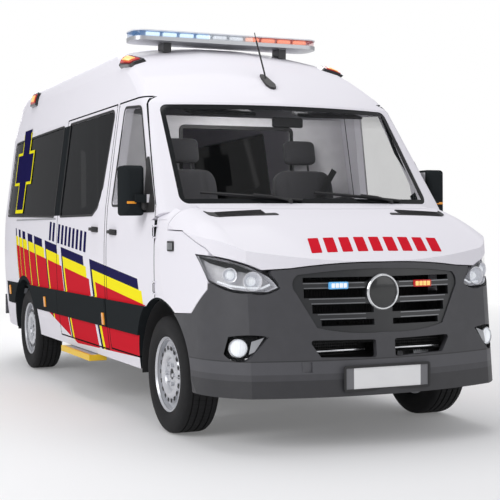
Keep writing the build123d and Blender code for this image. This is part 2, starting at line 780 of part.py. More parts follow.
def nose_panels():
    """Cut the nose's shell into bonnet, wings, bumper, lamps and grille."""
    solid = nose_volume()
    shell = solid - nose_volume(NOSE_WALL)
    arch = wheel_space(FRONT_AXLE_X, ARCH_RADIUS, -FAR, FAR)
    ahead = block(DOOR_FRONT_X + PANEL_GAP, FAR, -FAR, FAR, 0, FAR)
    shell = (shell & ahead) - arch
    cab = cabin_volume(-CAB_GAP)
    cab_zone = block(DOOR_FRONT_X, FAR, -FAR, FAR, WING_TOP_Z, FAR)
    for lowered in (0, CAB_GAP):
        shell = shell - ((Pos(0, 0, -lowered) * cab) & cab_zone)

    # Bonnet, its rear edge round the windscreen, and the cowl panel behind it
    edge = COWL_X - SCREEN_AXIS_X + COWL_GAP
    edge_round = rod((SCREEN_AXIS_X, 0, 0), (SCREEN_AXIS_X, 0, FAR), edge)
    cowl_round = rod((SCREEN_AXIS_X, 0, 0), (SCREEN_AXIS_X, 0, FAR), edge - PANEL_GAP)
    over = along_x(bonnet_face(), DOOR_FRONT_X, FAR) & along_y(bonnet_side_face(), -FAR, FAR)
    over_gap = along_x(grown(bonnet_face(), PANEL_GAP), DOOR_FRONT_X, FAR)
    over_gap = over_gap & along_y(grown(bonnet_side_face(), PANEL_GAP), -FAR, FAR)
    barrel, bore, ears = bonnet_hinge()
    bonnet = largest((shell & over) - edge_round)
    add("bonnet", bonnet + barrel + left_of(barrel) - bore - left_of(bore))
    PARTS["cab_frame"] = PARTS["cab_frame"] + ears + left_of(ears)
    rest = shell - (over_gap - cowl_round)
    notch = block(BONNET_HINGE_X - 190, FAR, -BONNET_HINGE_Y - 46, -BONNET_HINGE_Y + 46, COWL_LOW_Z, FAR)
    cowl_room = block(DOOR_FRONT_X, FAR, -COWL_HALF, COWL_HALF, COWL_LOW_Z, FAR)
    cowl = (rest & cowl_room) - notch - left_of(notch)
    add("cowl_panel", largest(cowl))
    beside = COWL_HALF + SEAT_GAP
    rest = rest - block(DOOR_FRONT_X, BONNET_HINGE_X + 300, -beside, beside, COWL_LOW_Z - SEAT_GAP, FAR)

    lamp = along_x(headlamp_face(), 2300, FAR)
    lamp_gap = along_x(grown(headlamp_face(), SEAT_GAP), 2300, FAR)
    lamps_gap = lamp_gap + left_of(lamp_gap)
    lens_outer = nose_volume(1)
    lens_inner = nose_volume(7)
    lens = (lens_outer - lens_inner) & lamp & rest
    housing = nose_volume(LAMP_DEPTH_IN) & lamp & rest
    add("headlamps", Compound([largest(housing), left_of(largest(housing))]))
    rest = rest - lamps_gap

    front = along_y(bumper_face(), -FAR, FAR)
    front_gap = along_y(grown(bumper_face(), 4), -FAR, FAR)
    wings = rest - front_gap
    wing = largest(wings & block(0, FAR, -FAR, 0, 0, FAR))
    for z in DOOR_HINGES_Z:
        ears = upright_hinge(DOOR_HINGE_X, -DOOR_HINGE_Y, z, DOOR_BARREL, DOOR_PIN)[2]
        for low, high in ear_spans(z):
            outside = -DOOR_HINGE_Y - DOOR_BARREL
            ears = ears + block(DOOR_HINGE_X, DOOR_HINGE_X + 12, outside, -HALF - 2, low, high)
            ears = ears + block(DOOR_HINGE_X + 6, DOOR_HINGE_X + 30, outside, -HALF + 20, low, high)
        wing = wing + ears
    add("front_wings", Compound([wing, left_of(wing)]))
    bumper = rest & front
    for y in (-FAR, LAMP_INNER_HALF):
        bumper = bumper - block(0, FAR, y, y + FAR - LAMP_INNER_HALF, LAMP_MID_Z, FAR)
    grille_hole = along_x(grille_face(), 2500, FAR)
    intakes = along_x(intake_face(), 2500, FAR)
    fog = along_x(fog_face(), 2500, FAR)
    plate_low, plate_high = PLATE_Z - PLATE_TALL / 2, PLATE_Z + PLATE_TALL / 2
    plate_bed = block(PLATE_BACK_X, FAR, -PLATE_HALF - 4, PLATE_HALF + 4, plate_low - 4, plate_high + 4)
    bumper = bumper - grille_hole - intakes - left_of(intakes) - fog - left_of(fog) - plate_bed
    bumper = bumper - block(2700, FAR, -TOW_Y - 28, -TOW_Y + 28, TOW_Z - 28, TOW_Z + 28)
    add("front_bumper", largest(bumper))
    plate = block(PLATE_BACK_X, PLATE_BACK_X + 6, -PLATE_HALF, PLATE_HALF, plate_low, plate_high)
    add("number_plate", plate)

    set_back = nose_volume(GRILLE_IN)
    grille = (set_back - nose_volume(NOSE_WALL)) & along_x(grown(grille_face(), -SEAT_GAP), 2500, FAR)
    for low_z, high_z, half in GRILLE_SLOTS:
        slot = block(2500, FAR, -half, -GRILLE_POST_HALF, low_z, high_z)
        grille = grille - slot - left_of(slot)
    disc = rod((DISC_BACK_X, 0, DISC_Z), (DISC_BACK_X + 60, 0, DISC_Z), DISC_RADIUS)
    add("grille", grille + disc)
    fog_lens = (nose_volume(14) - nose_volume(NOSE_WALL)) & along_x(grown(fog_face(), -SEAT_GAP), 2500, FAR)
    lenses = [largest(lens), largest(fog_lens)]
    add("lamp_lenses", Compound([*lenses, *[left_of(piece) for piece in lenses]]))


def wheel_pieces():
    """Tyre and rim about the wheel's own centre, axis along Y and outer face toward the right."""
    half, bead = TYRE_WIDTH / 2, RIM_RADIUS
    shoulder, crown = TYRE_RADIUS - 16, TYRE_RADIUS
    tyre_face = outline(
        (bead, -half + 32),
        (bead + 24, -half + 10),
        (bead + 68, -half),
        (shoulder, -half + 16),
        (crown, -half + 40),
        (crown, half - 40),
        (shoulder, half - 16),
        (bead + 68, half),
        (bead + 24, half - 10),
        (bead, half - 32),
    )
    lip, seat, well = RIM_WIDTH / 2, RIM_RADIUS, RIM_RADIUS - 38
    face_y = -WHEEL_FACE_OFFSET
    rim_face = outline(
        (HUB_RADIUS_BORE, face_y - 8),
        (DISC_INNER, face_y - 8),
        ((DISC_MID, face_y - 30), (DISC_OUTER, face_y - 8)),
        (well - 14, -lip + 52),
        (seat - 14, -lip + 26),
        (seat - 12, -lip),
        (seat, -lip),
        (seat, -lip + 26),
        (well, -lip + 62),
        (well, lip - 40),
        (seat, lip - 16),
        (seat, lip),
        (seat - 10, lip),
        (well - 10, lip - 36),
        (well - 10, -lip + 76),
        (DISC_OUTER, face_y + 4),
        ((DISC_MID, face_y - 18), (DISC_INNER, face_y + 4)),
        (HUB_RADIUS, face_y + 4),
        (HUB_RADIUS, BRAKE_Y - BRAKE_THICK),
        (BRAKE_RADIUS, BRAKE_Y - BRAKE_THICK),
        (BRAKE_RADIUS, BRAKE_Y),
        (HUB_RADIUS_BORE, BRAKE_Y),
    )
    spin = Axis((0, 0, 0), (0, 1, 0))
    tyre = revolve(Plane.XY * tyre_face, spin, 360)
    rim = revolve(Plane.XY * rim_face, spin, 360)
    slot = Pos(SLOT_CIRCLE, 0) * Rectangle(SLOT_WIDE, SLOT_LONG)
    cutter = along_y(slot, -RIM_WIDTH, 40 - RIM_WIDTH / 2)
    for index in range(SLOT_COUNT):
        rim = rim - Rotation(0, index * 360 / SLOT_COUNT, 0) * cutter
    for index in range(NUT_COUNT):
        nut = along_y(Pos(NUT_CIRCLE, 0) * RegularPolygon(NUT_RADIUS, NUT_SIDES), face_y - 30, face_y - 4)
        rim = rim + Rotation(0, index * 360 / NUT_COUNT, 0) * nut
    return tyre, rim


def wheels():
    """Four wheels, each a tyre on a rim that turns on a spindle."""
    tyre, rim = wheel_pieces()
    for end, x in (("front", FRONT_AXLE_X), ("rear", REAR_AXLE_X)):
        place = Pos(x, -WHEEL_Y, AXLE_Z)
        add(f"tyre_{end}_right", place * tyre)
        add(f"tyre_{end}_left", left_of(place * tyre))
        add(f"rim_{end}_right", place * rim)
        add(f"rim_{end}_left", left_of(place * rim))


def king_point(along, x=FRONT_AXLE_X):
    """Point on the right-hand steering axis, a distance up it from axle height."""
    lean = radians(KING_LEAN_DEG)
    return (x, -KING_Y + along * sin(lean), AXLE_Z + along * cos(lean))


def front_gear():
    """Knuckles, struts, subframe with its arms, and the front wheel liners."""
    body = rod(king_point(-KNUCKLE_HALF), king_point(KNUCKLE_HALF), KNUCKLE_RADIUS)
    spindle = rod((FRONT_AXLE_X, -KING_Y, AXLE_Z), (FRONT_AXLE_X, -SPINDLE_END, AXLE_Z), SPINDLE_RADIUS)
    bore = rod(king_point(-KNUCKLE_HALF - 5), king_point(KNUCKLE_HALF + 5), PIN_RADIUS + RUNNING_CLEARANCE)
    knuckle = body + spindle - bore
    add("knuckle_right", knuckle)
    add("knuckle_left", left_of(knuckle))

    pin = rod(king_point(KNUCKLE_HALF - PIN_LENGTH), king_point(KNUCKLE_HALF + 40), PIN_RADIUS)
    leg = rod(king_point(KNUCKLE_HALF + 6), king_point(STRUT_TOP), STRUT_RADIUS)
    top = block(FRONT_AXLE_X - 45, FRONT_AXLE_X + 45, -KING_Y + 15, -KING_Y + 120, TOWER_Z - 22, TOWER_Z)
    strut = pin + leg + top
    strut = strut - block(0, FAR, -FAR, FAR, TOWER_Z, FAR)
    add("front_struts", Compound([strut, left_of(strut)]))

    low_pin = rod(king_point(-KNUCKLE_HALF - 30), king_point(-KNUCKLE_HALF + PIN_LENGTH), PIN_RADIUS)
    low_end = rod(king_point(-KNUCKLE_HALF - 36), king_point(-KNUCKLE_HALF - 6), KNUCKLE_RADIUS)
    low_y, low_z = king_point(-KNUCKLE_HALF - 21)[1:]
    arm_face = outline(
        (FRONT_AXLE_X - 28, low_y),
        (FRONT_AXLE_X + 28, low_y),
        (FRONT_AXLE_X + 90, -BEAM_HALF + 10),
        (FRONT_AXLE_X - 120, -BEAM_HALF + 10),
    )
    arm = along_z(arm_face, low_z - 12, low_z + 12)
    beam = block(FRONT_AXLE_X - 130, FRONT_AXLE_X + 110, -BEAM_HALF, BEAM_HALF, low_z - 25, low_z + 35)
    post = block(FRONT_AXLE_X - 40, FRONT_AXLE_X + 40, -RAIL_OUT, -RAIL_OUT + 60, low_z, RAIL_LOW_Z)
    side = low_pin + low_end + arm + post
    mount = block(FRONT_AXLE_X + 30, FRONT_AXLE_X + 90, -110, -60, low_z, GEARBOX_Z - 90)
    side = side + mount
    add("front_subframe", beam + side + left_of(side))

    liner = wheel_space(FRONT_AXLE_X, LINER_RADIUS, -LINER_OUT, -LINER_IN)
    liner = liner - wheel_space(FRONT_AXLE_X, LINER_RADIUS - 8, -LINER_OUT - 5, -LINER_IN - 8)
    liner = liner - block(0, FAR, -FAR, FAR, -FAR, LINER_LOW_Z)
    tower = block(FRONT_AXLE_X - 70, FRONT_AXLE_X + 70, -KING_Y - 10, -LINER_IN, TOWER_Z, TOWER_Z + 40)
    tower = tower & wheel_space(FRONT_AXLE_X, LINER_RADIUS, -LINER_OUT, -LINER_IN)
    liner = liner + tower
    rear_liner = wheel_space(REAR_AXLE_X, REAR_LINER_RADIUS, -LINER_OUT, -REAR_LINER_IN)
    rear_liner = rear_liner - wheel_space(REAR_AXLE_X, REAR_LINER_RADIUS - 8, -LINER_OUT - 5, -REAR_LINER_IN - 8)
    rear_liner = rear_liner - block(-FAR, 0, -FAR, FAR, -FAR, LINER_LOW_Z)
    add("wheel_liners", Compound([liner, left_of(liner), rear_liner, left_of(rear_liner)]))


def rear_gear():
    """Rear axle, leaf springs and propeller shaft."""
    tube = wheel_space(REAR_AXLE_X, AXLE_TUBE_RADIUS, -AXLE_TUBE_HALF, AXLE_TUBE_HALF)
    spindles = wheel_space(REAR_AXLE_X, SPINDLE_RADIUS, -SPINDLE_END, SPINDLE_END)
    case = Pos(REAR_AXLE_X, 0, AXLE_Z) * Sphere(CASE_RADIUS)
    top_z = AXLE_Z + AXLE_TUBE_RADIUS
    floor_low = FLOOR_TOP - FLOOR_THICK
    leaf_face = outline(
        (REAR_AXLE_X - LEAF_HALF, top_z + 75),
        ((REAR_AXLE_X, top_z + 15), (REAR_AXLE_X + LEAF_HALF, top_z + 75)),
        (REAR_AXLE_X + LEAF_HALF, top_z + 100),
        ((REAR_AXLE_X, top_z + 50), (REAR_AXLE_X - LEAF_HALF, top_z + 100)),
    )
    leaf = along_y(leaf_face, -LEAF_Y - LEAF_WIDE / 2, -LEAF_Y + LEAF_WIDE / 2)
    saddle = block(REAR_AXLE_X - 50, REAR_AXLE_X + 50, -LEAF_Y - 40, -LEAF_Y + 40, AXLE_Z, top_z + 30)
    hangers = block(
        REAR_AXLE_X - LEAF_HALF, REAR_AXLE_X - LEAF_HALF + 40, -LEAF_Y - 40, -LEAF_Y + 40, top_z + 75, floor_low
    ) + block(REAR_AXLE_X + LEAF_HALF - 40, REAR_AXLE_X + LEAF_HALF, -LEAF_Y - 40, -LEAF_Y + 40, top_z + 75, floor_low)
    spring = leaf + saddle + hangers
    shaft = rod((REAR_AXLE_X, 0, AXLE_Z), (GEARBOX_REAR_X, 0, GEARBOX_Z), SHAFT_RADIUS)
    shaft = shaft - block(GEARBOX_REAR_X, FAR, -FAR, FAR, 0, FAR)
    add("rear_axle", tube + spindles + case + spring + left_of(spring) + shaft)


def underbody():
    """Frame rails, engine with gearbox, exhaust, tank, step and rear bumper."""
    floor_low = FLOOR_TOP - FLOOR_THICK
    rail = block(REAR_SKIN_X + 90, RAIL_FRONT_X, -RAIL_OUT, -RAIL_IN, RAIL_LOW_Z, floor_low)
    horn = block(RAIL_FRONT_X, FAR, -RAIL_OUT, -RAIL_IN, RAIL_LOW_Z + 10, floor_low - 10) & nose_volume(NOSE_WALL)
    rails = rail + horn + left_of(rail + horn)
    for x in (-2700, -900, 300, 1000, RAIL_FRONT_X - 60):
        rails = rails + block(x, x + 60, -RAIL_OUT, RAIL_OUT, RAIL_LOW_Z + 20, floor_low - 10)
    eye = rod((RAIL_FRONT_X - 60, -TOW_Y, TOW_Z), (TOW_FACE_X, -TOW_Y, TOW_Z), TOW_RADIUS * 2)
    bracket = block(RAIL_FRONT_X - 60, RAIL_FRONT_X, -RAIL_OUT, -RAIL_IN, TOW_Z - 20, RAIL_LOW_Z)
    eye_bore = rod((TOW_FACE_X - TOW_DEPTH, -TOW_Y, TOW_Z), (TOW_FACE_X + 5, -TOW_Y, TOW_Z), TOW_RADIUS)
    add("chassis_rails", rails + bracket + eye - eye_bore)

    engine = block(ENGINE_REAR_X, ENGINE_FRONT_X, -ENGINE_HALF, ENGINE_HALF, ENGINE_LOW_Z, ENGINE_HIGH_Z)
    engine = chamfer(engine.edges().filter_by(Axis.X), 60)
    box = block(GEARBOX_REAR_X, ENGINE_REAR_X + 10, -130, 130, GEARBOX_Z - 90, GEARBOX_Z + 110)
    add("engine_and_gearbox", engine + box)

    pipe_y, pipe_z = -320, 460
    pipe = rod((ENGINE_REAR_X - 500, pipe_y, pipe_z), (-900, pipe_y, pipe_z), 30)
    box = rod((-700, pipe_y, pipe_z), (-50, pipe_y, pipe_z), 85)
    tail = rod((-900, pipe_y, pipe_z), (-1000, -760, 430), 30) + Pos(-900, pipe_y, pipe_z) * Sphere(30)
    hook = block(-420, -380, pipe_y - 20, pipe_y + 20, pipe_z + 60, floor_low)
    add("exhaust", pipe + box + tail + hook)
    add("fuel_tank", fillet(block(-250, 750, 545, 880, 370, floor_low).edges().filter_by(Axis.X), 40))

    step = block(STEP_REAR_X, STEP_FRONT_X, -STEP_OUT, -UNDER_HALF - 6, SILL_Z - 48, SILL_Z - 6)
    for x in (STEP_REAR_X + 120, STEP_FRONT_X - 160):
        step = step + block(x, x + 40, -SILL_HALF + 8, -UNDER_HALF - 6, SILL_Z - 10, SILL_Z)
    add("side_step", step)

    bumper = block(-FRONT_X, REAR_SKIN_X, -REAR_BUMPER_HALF, REAR_BUMPER_HALF, REAR_BUMPER_LOW_Z, REAR_BUMPER_HIGH_Z)
    bumper = fillet(bumper.edges().filter_by(Axis.Z).group_by(Axis.X)[0], 55)
    bumper = bumper - block(-FRONT_X - 10, -FRONT_X + 20, -700, 700, REAR_BUMPER_HIGH_Z - 40, FAR)
    iron = block(REAR_SKIN_X, REAR_SKIN_X + 90, -RAIL_OUT, -RAIL_IN, RAIL_LOW_Z, REAR_BUMPER_HIGH_Z)
    add("rear_bumper", bumper + iron + left_of(iron))


def cab_fittings():
    """Dashboard, steering wheel and column, seats, partition and cabinet."""
    room = cabin_volume(WALL + 3)
    dash_face = outline(
        (1560, 1010),
        (1620, 1180),
        ((1690, 1285), (1800, 1305)),
        (1960, 1312),
        (1960, 850),
        (1800, 850),
    )
    dash = along_y(dash_face, -DASH_HALF, DASH_HALF) & room
    firewall = FIREWALL_X - WALL * 0.8 - SEAT_GAP
    for y in (-DASH_BRACKET_Y, DASH_BRACKET_Y):
        dash = dash + block(1950, firewall, y - 60, y + 60, 1050, 1150)

    tilt = radians(COLUMN_TILT_DEG)
    hub = (COLUMN_X, COLUMN_Y, COLUMN_Z)
    way = (-cos(tilt), 0, sin(tilt))
    along = [(hub[0] + way[0] * s, hub[1], hub[2] + way[2] * s) for s in COLUMN_STATIONS]
    column = rod(along[0], along[2], 45)
    stub = rod(along[1], along[3], 14)
    add("dashboard", dash + column + stub)
    wheel_plane = Plane(hub, z_dir=way)
    ring = Torus(STEERING_RADIUS, 16)
    spokes = Box(2 * STEERING_RADIUS, 46, 14) + Pos(0, -STEERING_RADIUS / 2, 0) * Box(60, STEERING_RADIUS, 14)
    pad = Cylinder(78, 34)
    wheel = ring + spokes + pad - Pos(0, 0, -20) * Cylinder(14 + RUNNING_CLEARANCE, 64)
    add("steering_wheel", wheel_plane * wheel)

    seats = []
    for y in (-SEAT_Y, SEAT_Y):
        base = block(SEAT_X - 210, SEAT_X + 200, y - 200, y + 200, FLOOR_TOP, FLOOR_TOP + 250)
        cushion = block(SEAT_X - 240, SEAT_X + 270, y - 250, y + 250, FLOOR_TOP + 250, FLOOR_TOP + 370)
        cushion = fillet(cushion.edges().filter_by(Axis.Y), 40)
        back = fillet(block(-70, 70, -245, 245, 0, 620).edges().filter_by(Axis.X), 60)
        back = Pos(SEAT_X - 215, y, FLOOR_TOP + 355) * (Rotation(0, -12, 0) * back)
        head = fillet(block(-45, 45, -130, 130, 650, 840).edges().filter_by(Axis.X), 50)
        posts = rod((0, -60, 600), (0, -60, 670), 8) + rod((0, 60, 600), (0, 60, 670), 8)
        head = Pos(SEAT_X - 215, y, FLOOR_TOP + 355) * (Rotation(0, -12, 0) * (head + posts))
        seats.append(base + cushion + back + head)
    add("seats", Compound(seats))

    wall = room & block(PARTITION_X, PARTITION_X + 35, -FAR, FAR, FLOOR_TOP, 2040)
    wall = wall - block(PARTITION_X - 5, PARTITION_X + 50, -430, 430, 1390, 1960)
    add("partition", wall)
    cabinet = block(-2300, 300, 560, 900, FLOOR_TOP, 1320)
    for x in (-2280, -1630, -980, -330):
        cabinet = cabinet - block(x, x + 610, 540, 880, FLOOR_TOP + 60, 1290)
    cabinet = cabinet - left_of(wheel_space(REAR_AXLE_X, REAR_LINER_RADIUS + 6, -FAR, -500))
    add("cabinet", cabinet & room)
    platform = block(PLATFORM_REAR_X, PLATFORM_FRONT_X, -PLATFORM_HALF, PLATFORM_HALF, FLOOR_TOP, PLATFORM_TOP_Z)
    add("stretcher_platform", chamfer(platform.edges().filter_by(Axis.Z), 40))


def roof_fittings():
    """Light bar across the brow: a base on two feet, a lens band round its core, and a lid."""
    half, deep = LIGHTBAR_HALF, LIGHTBAR_DEEP / 2
    plan = rounded(Rectangle(LIGHTBAR_DEEP, 2 * half), LIGHTBAR_CORNER)
    place = Pos(LIGHTBAR_X, 0, LIGHTBAR_LOW_Z)
    base = along_z(plan, 0, 28)
    lid = along_z(plan, 66, 74)
    core = block(-deep + 50, deep - 50, -half + 60, half - 60, 20, 70)
    lens = along_z(grown(plan, -6), 28, 66) - core
    foot = block(-60, 60, LIGHTBAR_FOOT_Y - 30, LIGHTBAR_FOOT_Y + 30, -200, 5)
    roof = cabin_volume()
    add("lightbar", largest(place * (base + lid + core + foot + left_of(foot)) - roof))
    add("lightbar_lens", place * lens)


def rear_lamps():
    """Tail lamps let into the rear corners beside the doors."""
    slot = block(REAR_SKIN_X - 5, REAR_SKIN_X + 50, -FAR, -REAR_DOOR_HALF - PANEL_GAP - 6, TAIL_LOW_Z, TAIL_HIGH_Z)
    PARTS["body_side_right"] = PARTS["body_side_right"] - slot
    PARTS["body_side_left"] = PARTS["body_side_left"] - left_of(slot)
    lamp = cabin_volume() & slot
    add("tail_lamps", Compound([lamp, left_of(lamp)]))


def main():
    os.makedirs("parts", exist_ok=True)
    body_shell()
    nose_panels()
    wheels()
    front_gear()
    rear_gear()
    underbody()
    cab_fittings()
    roof_fittings()
    rear_lamps()
    for name, shape in PARTS.items():
        export_step(shape, f"parts/{name}.step")
        print(name, len(shape.solids()), round(shape.volume / 1e6, 2))


if __name__ == "__main__":
    main()
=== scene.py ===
"""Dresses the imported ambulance: paint and livery, lamps, trim, tyres, seats, stage and camera."""

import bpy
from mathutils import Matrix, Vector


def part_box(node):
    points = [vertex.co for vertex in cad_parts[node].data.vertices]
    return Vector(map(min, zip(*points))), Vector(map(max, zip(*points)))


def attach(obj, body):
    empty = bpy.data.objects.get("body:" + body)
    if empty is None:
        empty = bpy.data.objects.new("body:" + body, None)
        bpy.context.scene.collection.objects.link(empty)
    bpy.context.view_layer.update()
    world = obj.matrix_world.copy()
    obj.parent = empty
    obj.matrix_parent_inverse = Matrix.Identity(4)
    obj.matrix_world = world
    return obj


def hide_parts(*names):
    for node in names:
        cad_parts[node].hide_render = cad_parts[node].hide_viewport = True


bl_info = {
    "name": "High-roof ambulance",
    "version": (1, 0, 0),
    "blender": (4, 5, 0),
    "location": "View3D > Sidebar > Ambulance",
    "description": "Builds the ambulance's paint, livery, lamps, trim, tyres and seats round its CAD frame",
    "category": "Object",
}

from functools import reduce
from math import cos, pi, radians, sin
from operator import or_

import bmesh
import bpy
from mathutils import Matrix, Vector
from mathutils.bvhtree import BVHTree

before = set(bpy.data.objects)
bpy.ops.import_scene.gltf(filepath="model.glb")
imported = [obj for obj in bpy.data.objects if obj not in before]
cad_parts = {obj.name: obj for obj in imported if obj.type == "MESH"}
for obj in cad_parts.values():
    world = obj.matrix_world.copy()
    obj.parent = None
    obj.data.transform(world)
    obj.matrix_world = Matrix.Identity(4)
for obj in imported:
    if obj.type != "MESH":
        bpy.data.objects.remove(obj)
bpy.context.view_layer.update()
AHEAD = Vector((1, 0, 0))
SIDES = ((-1, "right"), (1, "left"))

# Materials by finish name, filled by the first step
FINISHES = {}

# Which CAD nodes take which finish
NODE_FINISHES = {
    "painted_panels": (
        "roof_panel body_side_left body_side_right sliding_door cab_frame front_wings cowl_panel bonnet "
        "cab_door_left cab_door_right rear_door_left rear_door_right"
    ),
    "interior_panel": "partition cabinet",
    "grey_moulding": "front_bumper rear_bumper",
    "grille_black": "grille",
    "black_moulding": "wheel_liners fuel_tank",
    "dash_grain": "dashboard steering_wheel",
    "screen_glass": "windscreen",
    "cab_glass": "cab_glass_left cab_glass_right",
    "dark_glass": "side_glass rear_glass_left rear_glass_right",
    "lamp_glass": "lamp_lenses",
    "tail_lens": "tail_lamps",
    "bar_lens": "lightbar_lens",
    "bar_casing": "lightbar",
    "blank_plate": "number_plate",
    "wheel_silver": "rim_front_left rim_front_right rim_rear_left rim_rear_right",
    "under_steel": (
        "front_struts front_subframe rear_axle chassis_rails engine_and_gearbox knuckle_left knuckle_right"
    ),
    "exhaust_steel": "exhaust",
    "floor_cover": "floor_pan stretcher_platform",
    "step_tread": "side_step",
}

# Plain finishes: colour, roughness, and what differs from the usual settings
PLAIN_FINISHES = {
    "interior_panel": ((0.70, 0.69, 0.71), 0.5, {}),
    "grille_black": ((0.020, 0.021, 0.023), 0.34, {"grain": 900.0, "strength": 0.1}),
    "black_moulding": ((0.016, 0.016, 0.017), 0.55, {"grain": 900.0, "strength": 0.2}),
    "gloss_black": ((0.010, 0.011, 0.012), 0.15, {"coat": 0.4, "strength": 0.02}),
    "dash_grain": ((0.022, 0.022, 0.024), 0.6, {"grain": 600.0, "strength": 0.3}),
    "wheel_silver": ((0.58, 0.59, 0.62), 0.34, {"metallic": 0.45, "scale": 9.0, "strength": 0.06}),
    "under_steel": ((0.035, 0.035, 0.036), 0.6, {"metallic": 0.3}),
    "exhaust_steel": ((0.35, 0.33, 0.30), 0.45, {"metallic": 0.8}),
    "floor_cover": ((0.22, 0.23, 0.25), 0.6, {"grain": 300.0, "strength": 0.3}),
    "bright_metal": ((0.66, 0.67, 0.69), 0.18, {"metallic": 0.9, "strength": 0.03}),
    "slat_metal": ((0.20, 0.205, 0.215), 0.30, {"metallic": 0.6, "strength": 0.03}),
    "satin_metal": ((0.42, 0.43, 0.45), 0.34, {"metallic": 0.7, "strength": 0.05}),
    "lamp_chrome": ((0.84, 0.84, 0.87), 0.22, {"metallic": 0.35, "scale": 60.0, "strength": 0.05}),
    "seam_rubber": ((0.010, 0.010, 0.011), 0.6, {}),
}

# Panes: colour, how much they hide, and what differs from the usual settings
PANES = {
    "cab_glass": ((0.02, 0.023, 0.024), 0.16, {}),
    "dark_glass": ((0.006, 0.007, 0.008), 0.88, {"specular": 0.02}),
    "lamp_glass": ((0.10, 0.105, 0.11), 0.06, {"roughness": 0.03, "specular": 0.4}),
}

# Lit lamps and lenses: colour and glow
LAMP_FINISHES = {
    "amber_lens": ((0.85, 0.32, 0.02), 0.25),
    "red_lens": ((0.62, 0.02, 0.02), 0.2),
    "blue_lens": ((0.16, 0.50, 0.92), 0.35),
    "blue_light": ((0.80, 0.92, 1.0), 1.1),
    "white_light": ((0.88, 0.91, 0.95), 0.45),
    "red_light": ((1.0, 0.46, 0.30), 0.8),
    "amber_light": ((1.0, 0.66, 0.20), 0.5),
}

# Livery blocks from the front: rear and front edge at the top line, then line width along the rear edge
LIVERY_BLOCKS = (
    (0.448, 1.565, 0.048),
    (-0.376, 0.279, 0.036),
    (-0.906, -0.503, 0.030),
    (-1.299, -1.005, 0.024),
    (-1.547, -1.362, 0.018),
    (-1.758, -1.641, 0.014),
    (-1.909, -1.827, 0.010),
    (-2.031, -1.989, 0.008),
)
LIVERY_TOP_X = 0.448
LIVERY_TOP_Z = 1.024
LIVERY_FALL = 0.092
LIVERY_LEAN = 0.30
LIVERY_FRONT_X = 1.708
YELLOW_LINE = 2.1

# Lower edge of the livery as two lines, the higher counts: Z, slope and X
LIVERY_SILL = ((0.392, 0.0275, 0.757), (0.42, -0.228, -0.246))

# Depth of the bands under the livery's top line, and how far the front edge steps at each
NAVY_DEEP = 0.068
YELLOW_DEEP = 0.148
BAND_STEP = 0.055

# Black parts of the sides: outward of the skin's half width, the strips, the mirrors and the window pillar
SKIN_HALF = 0.956
STRIP = {"low": 0.560, "high": 0.757, "rear": -2.40, "front": 1.79}
MIRROR_ZONE = {"out": 1.0185, "low": 1.26, "rear": 1.5}
PILLAR = {"out": 0.88, "x": -0.51, "half_x": 0.112, "z": 1.7015, "half_z": 0.3565}

# Door seams: place, its two ends, and the side it is on (-1 right, 1 left)
UPRIGHT_SEAMS = (
    (0.8765, 0.415, 2.100, -1),
    (0.8765, 0.415, 2.100, 1),
    (1.8985, 0.415, 1.382, -1),
    (1.8985, 0.415, 1.382, 1),
    (-0.5035, 0.400, 2.100, -1),
    (0.8295, 0.400, 2.100, -1),
)
LEVEL_SEAMS = (
    (0.4165, 0.876, 1.600, -1),
    (0.4165, 0.876, 1.600, 1),
    (0.4015, -0.504, 0.830, -1),
    (2.0995, -0.504, 0.830, -1),
    (2.0995, 0.876, 1.395, -1),
    (2.0995, 0.876, 1.395, 1),
)
SEAM_HALF = 0.0055
SEAM_OUT = 0.80

# Raked seam up the front of the cab doors: how far it leans back per metre, its foot and its top
RAKE = {"lean": 0.6913, "foot_x": 1.8995, "foot_z": 1.38, "top_z": 2.10, "out": 0.70}

# Wheel centres in X and the side each stands on, by wheel name
WHEELS = {
    "front_left": (1.962, 1),
    "front_right": (1.962, -1),
    "rear_left": (-1.703, 1),
    "rear_right": (-1.703, -1),
}
WHEEL_Y = 0.855
AXLE_Z = 0.356

# Half of a tyre's section as (out, radius) up to the tread, and its grooves as (middle, width)
TYRE_WALL = (
    (0.088, 0.223), (0.100, 0.232), (0.104, 0.240), (0.1125, 0.262), (0.1165, 0.288), (0.1155, 0.310),
    (0.110, 0.330), (0.103, 0.3435), (0.092, 0.3515), (0.080, 0.3545),
)
TYRE_GROOVES = ((0.062, 0.010), (0.022, 0.011))
TREAD_RADIUS = 0.3555
TREAD_CROWN = 0.3560

# Ring of openings in the wheel's disc, covered by black patches of painted shade: how many, and one opening
# as (out, along)
OPENINGS = 18
OPENING = ((0.146, -0.012), (0.172, -0.015), (0.172, 0.015), (0.146, 0.012))

# Wheel arches' centre in X and the radius that is black, and the splash guards in the housings
ARCHES = ((1.962, 0.4665), (-1.703, 0.472))
GUARD_RADIUS = 0.452
GUARD_Y = 0.8525
GUARD_WIDTH = 0.225

# Headlamp in (Y, Z) from the middle outward: outline, light line and upper shield
HEADLAMP = (
    (0.945, 1.083), (0.880, 1.070), (0.815, 1.048), (0.750, 1.021), (0.693, 0.992),
    (0.650, 0.965), (0.622, 0.936), (0.606, 0.909), (0.660, 0.886), (0.760, 0.889),
    (0.830, 0.900), (0.885, 0.925), (0.918, 0.957),
)
LIGHT_LINE = ((0.635, 0.925), (0.680, 0.905), (0.760, 0.908), (0.830, 0.918), (0.880, 0.940))
LAMP_SHIELD = ((0.935, 1.076), (0.81, 1.041), (0.70, 0.99), (0.70, 0.982), (0.80, 1.0), (0.90, 1.04))
LAMP_DEEP = 0.105

# Headlamp bowls: Y, Z, radius and depth
LAMP_BOWLS = ((0.735, 0.945, 0.050, 0.060), (0.843, 0.978, 0.038, 0.050))
FOG_BEZEL = ((0.756, 0.615), (0.690, 0.636), (0.742, 0.560), (0.770, 0.545))

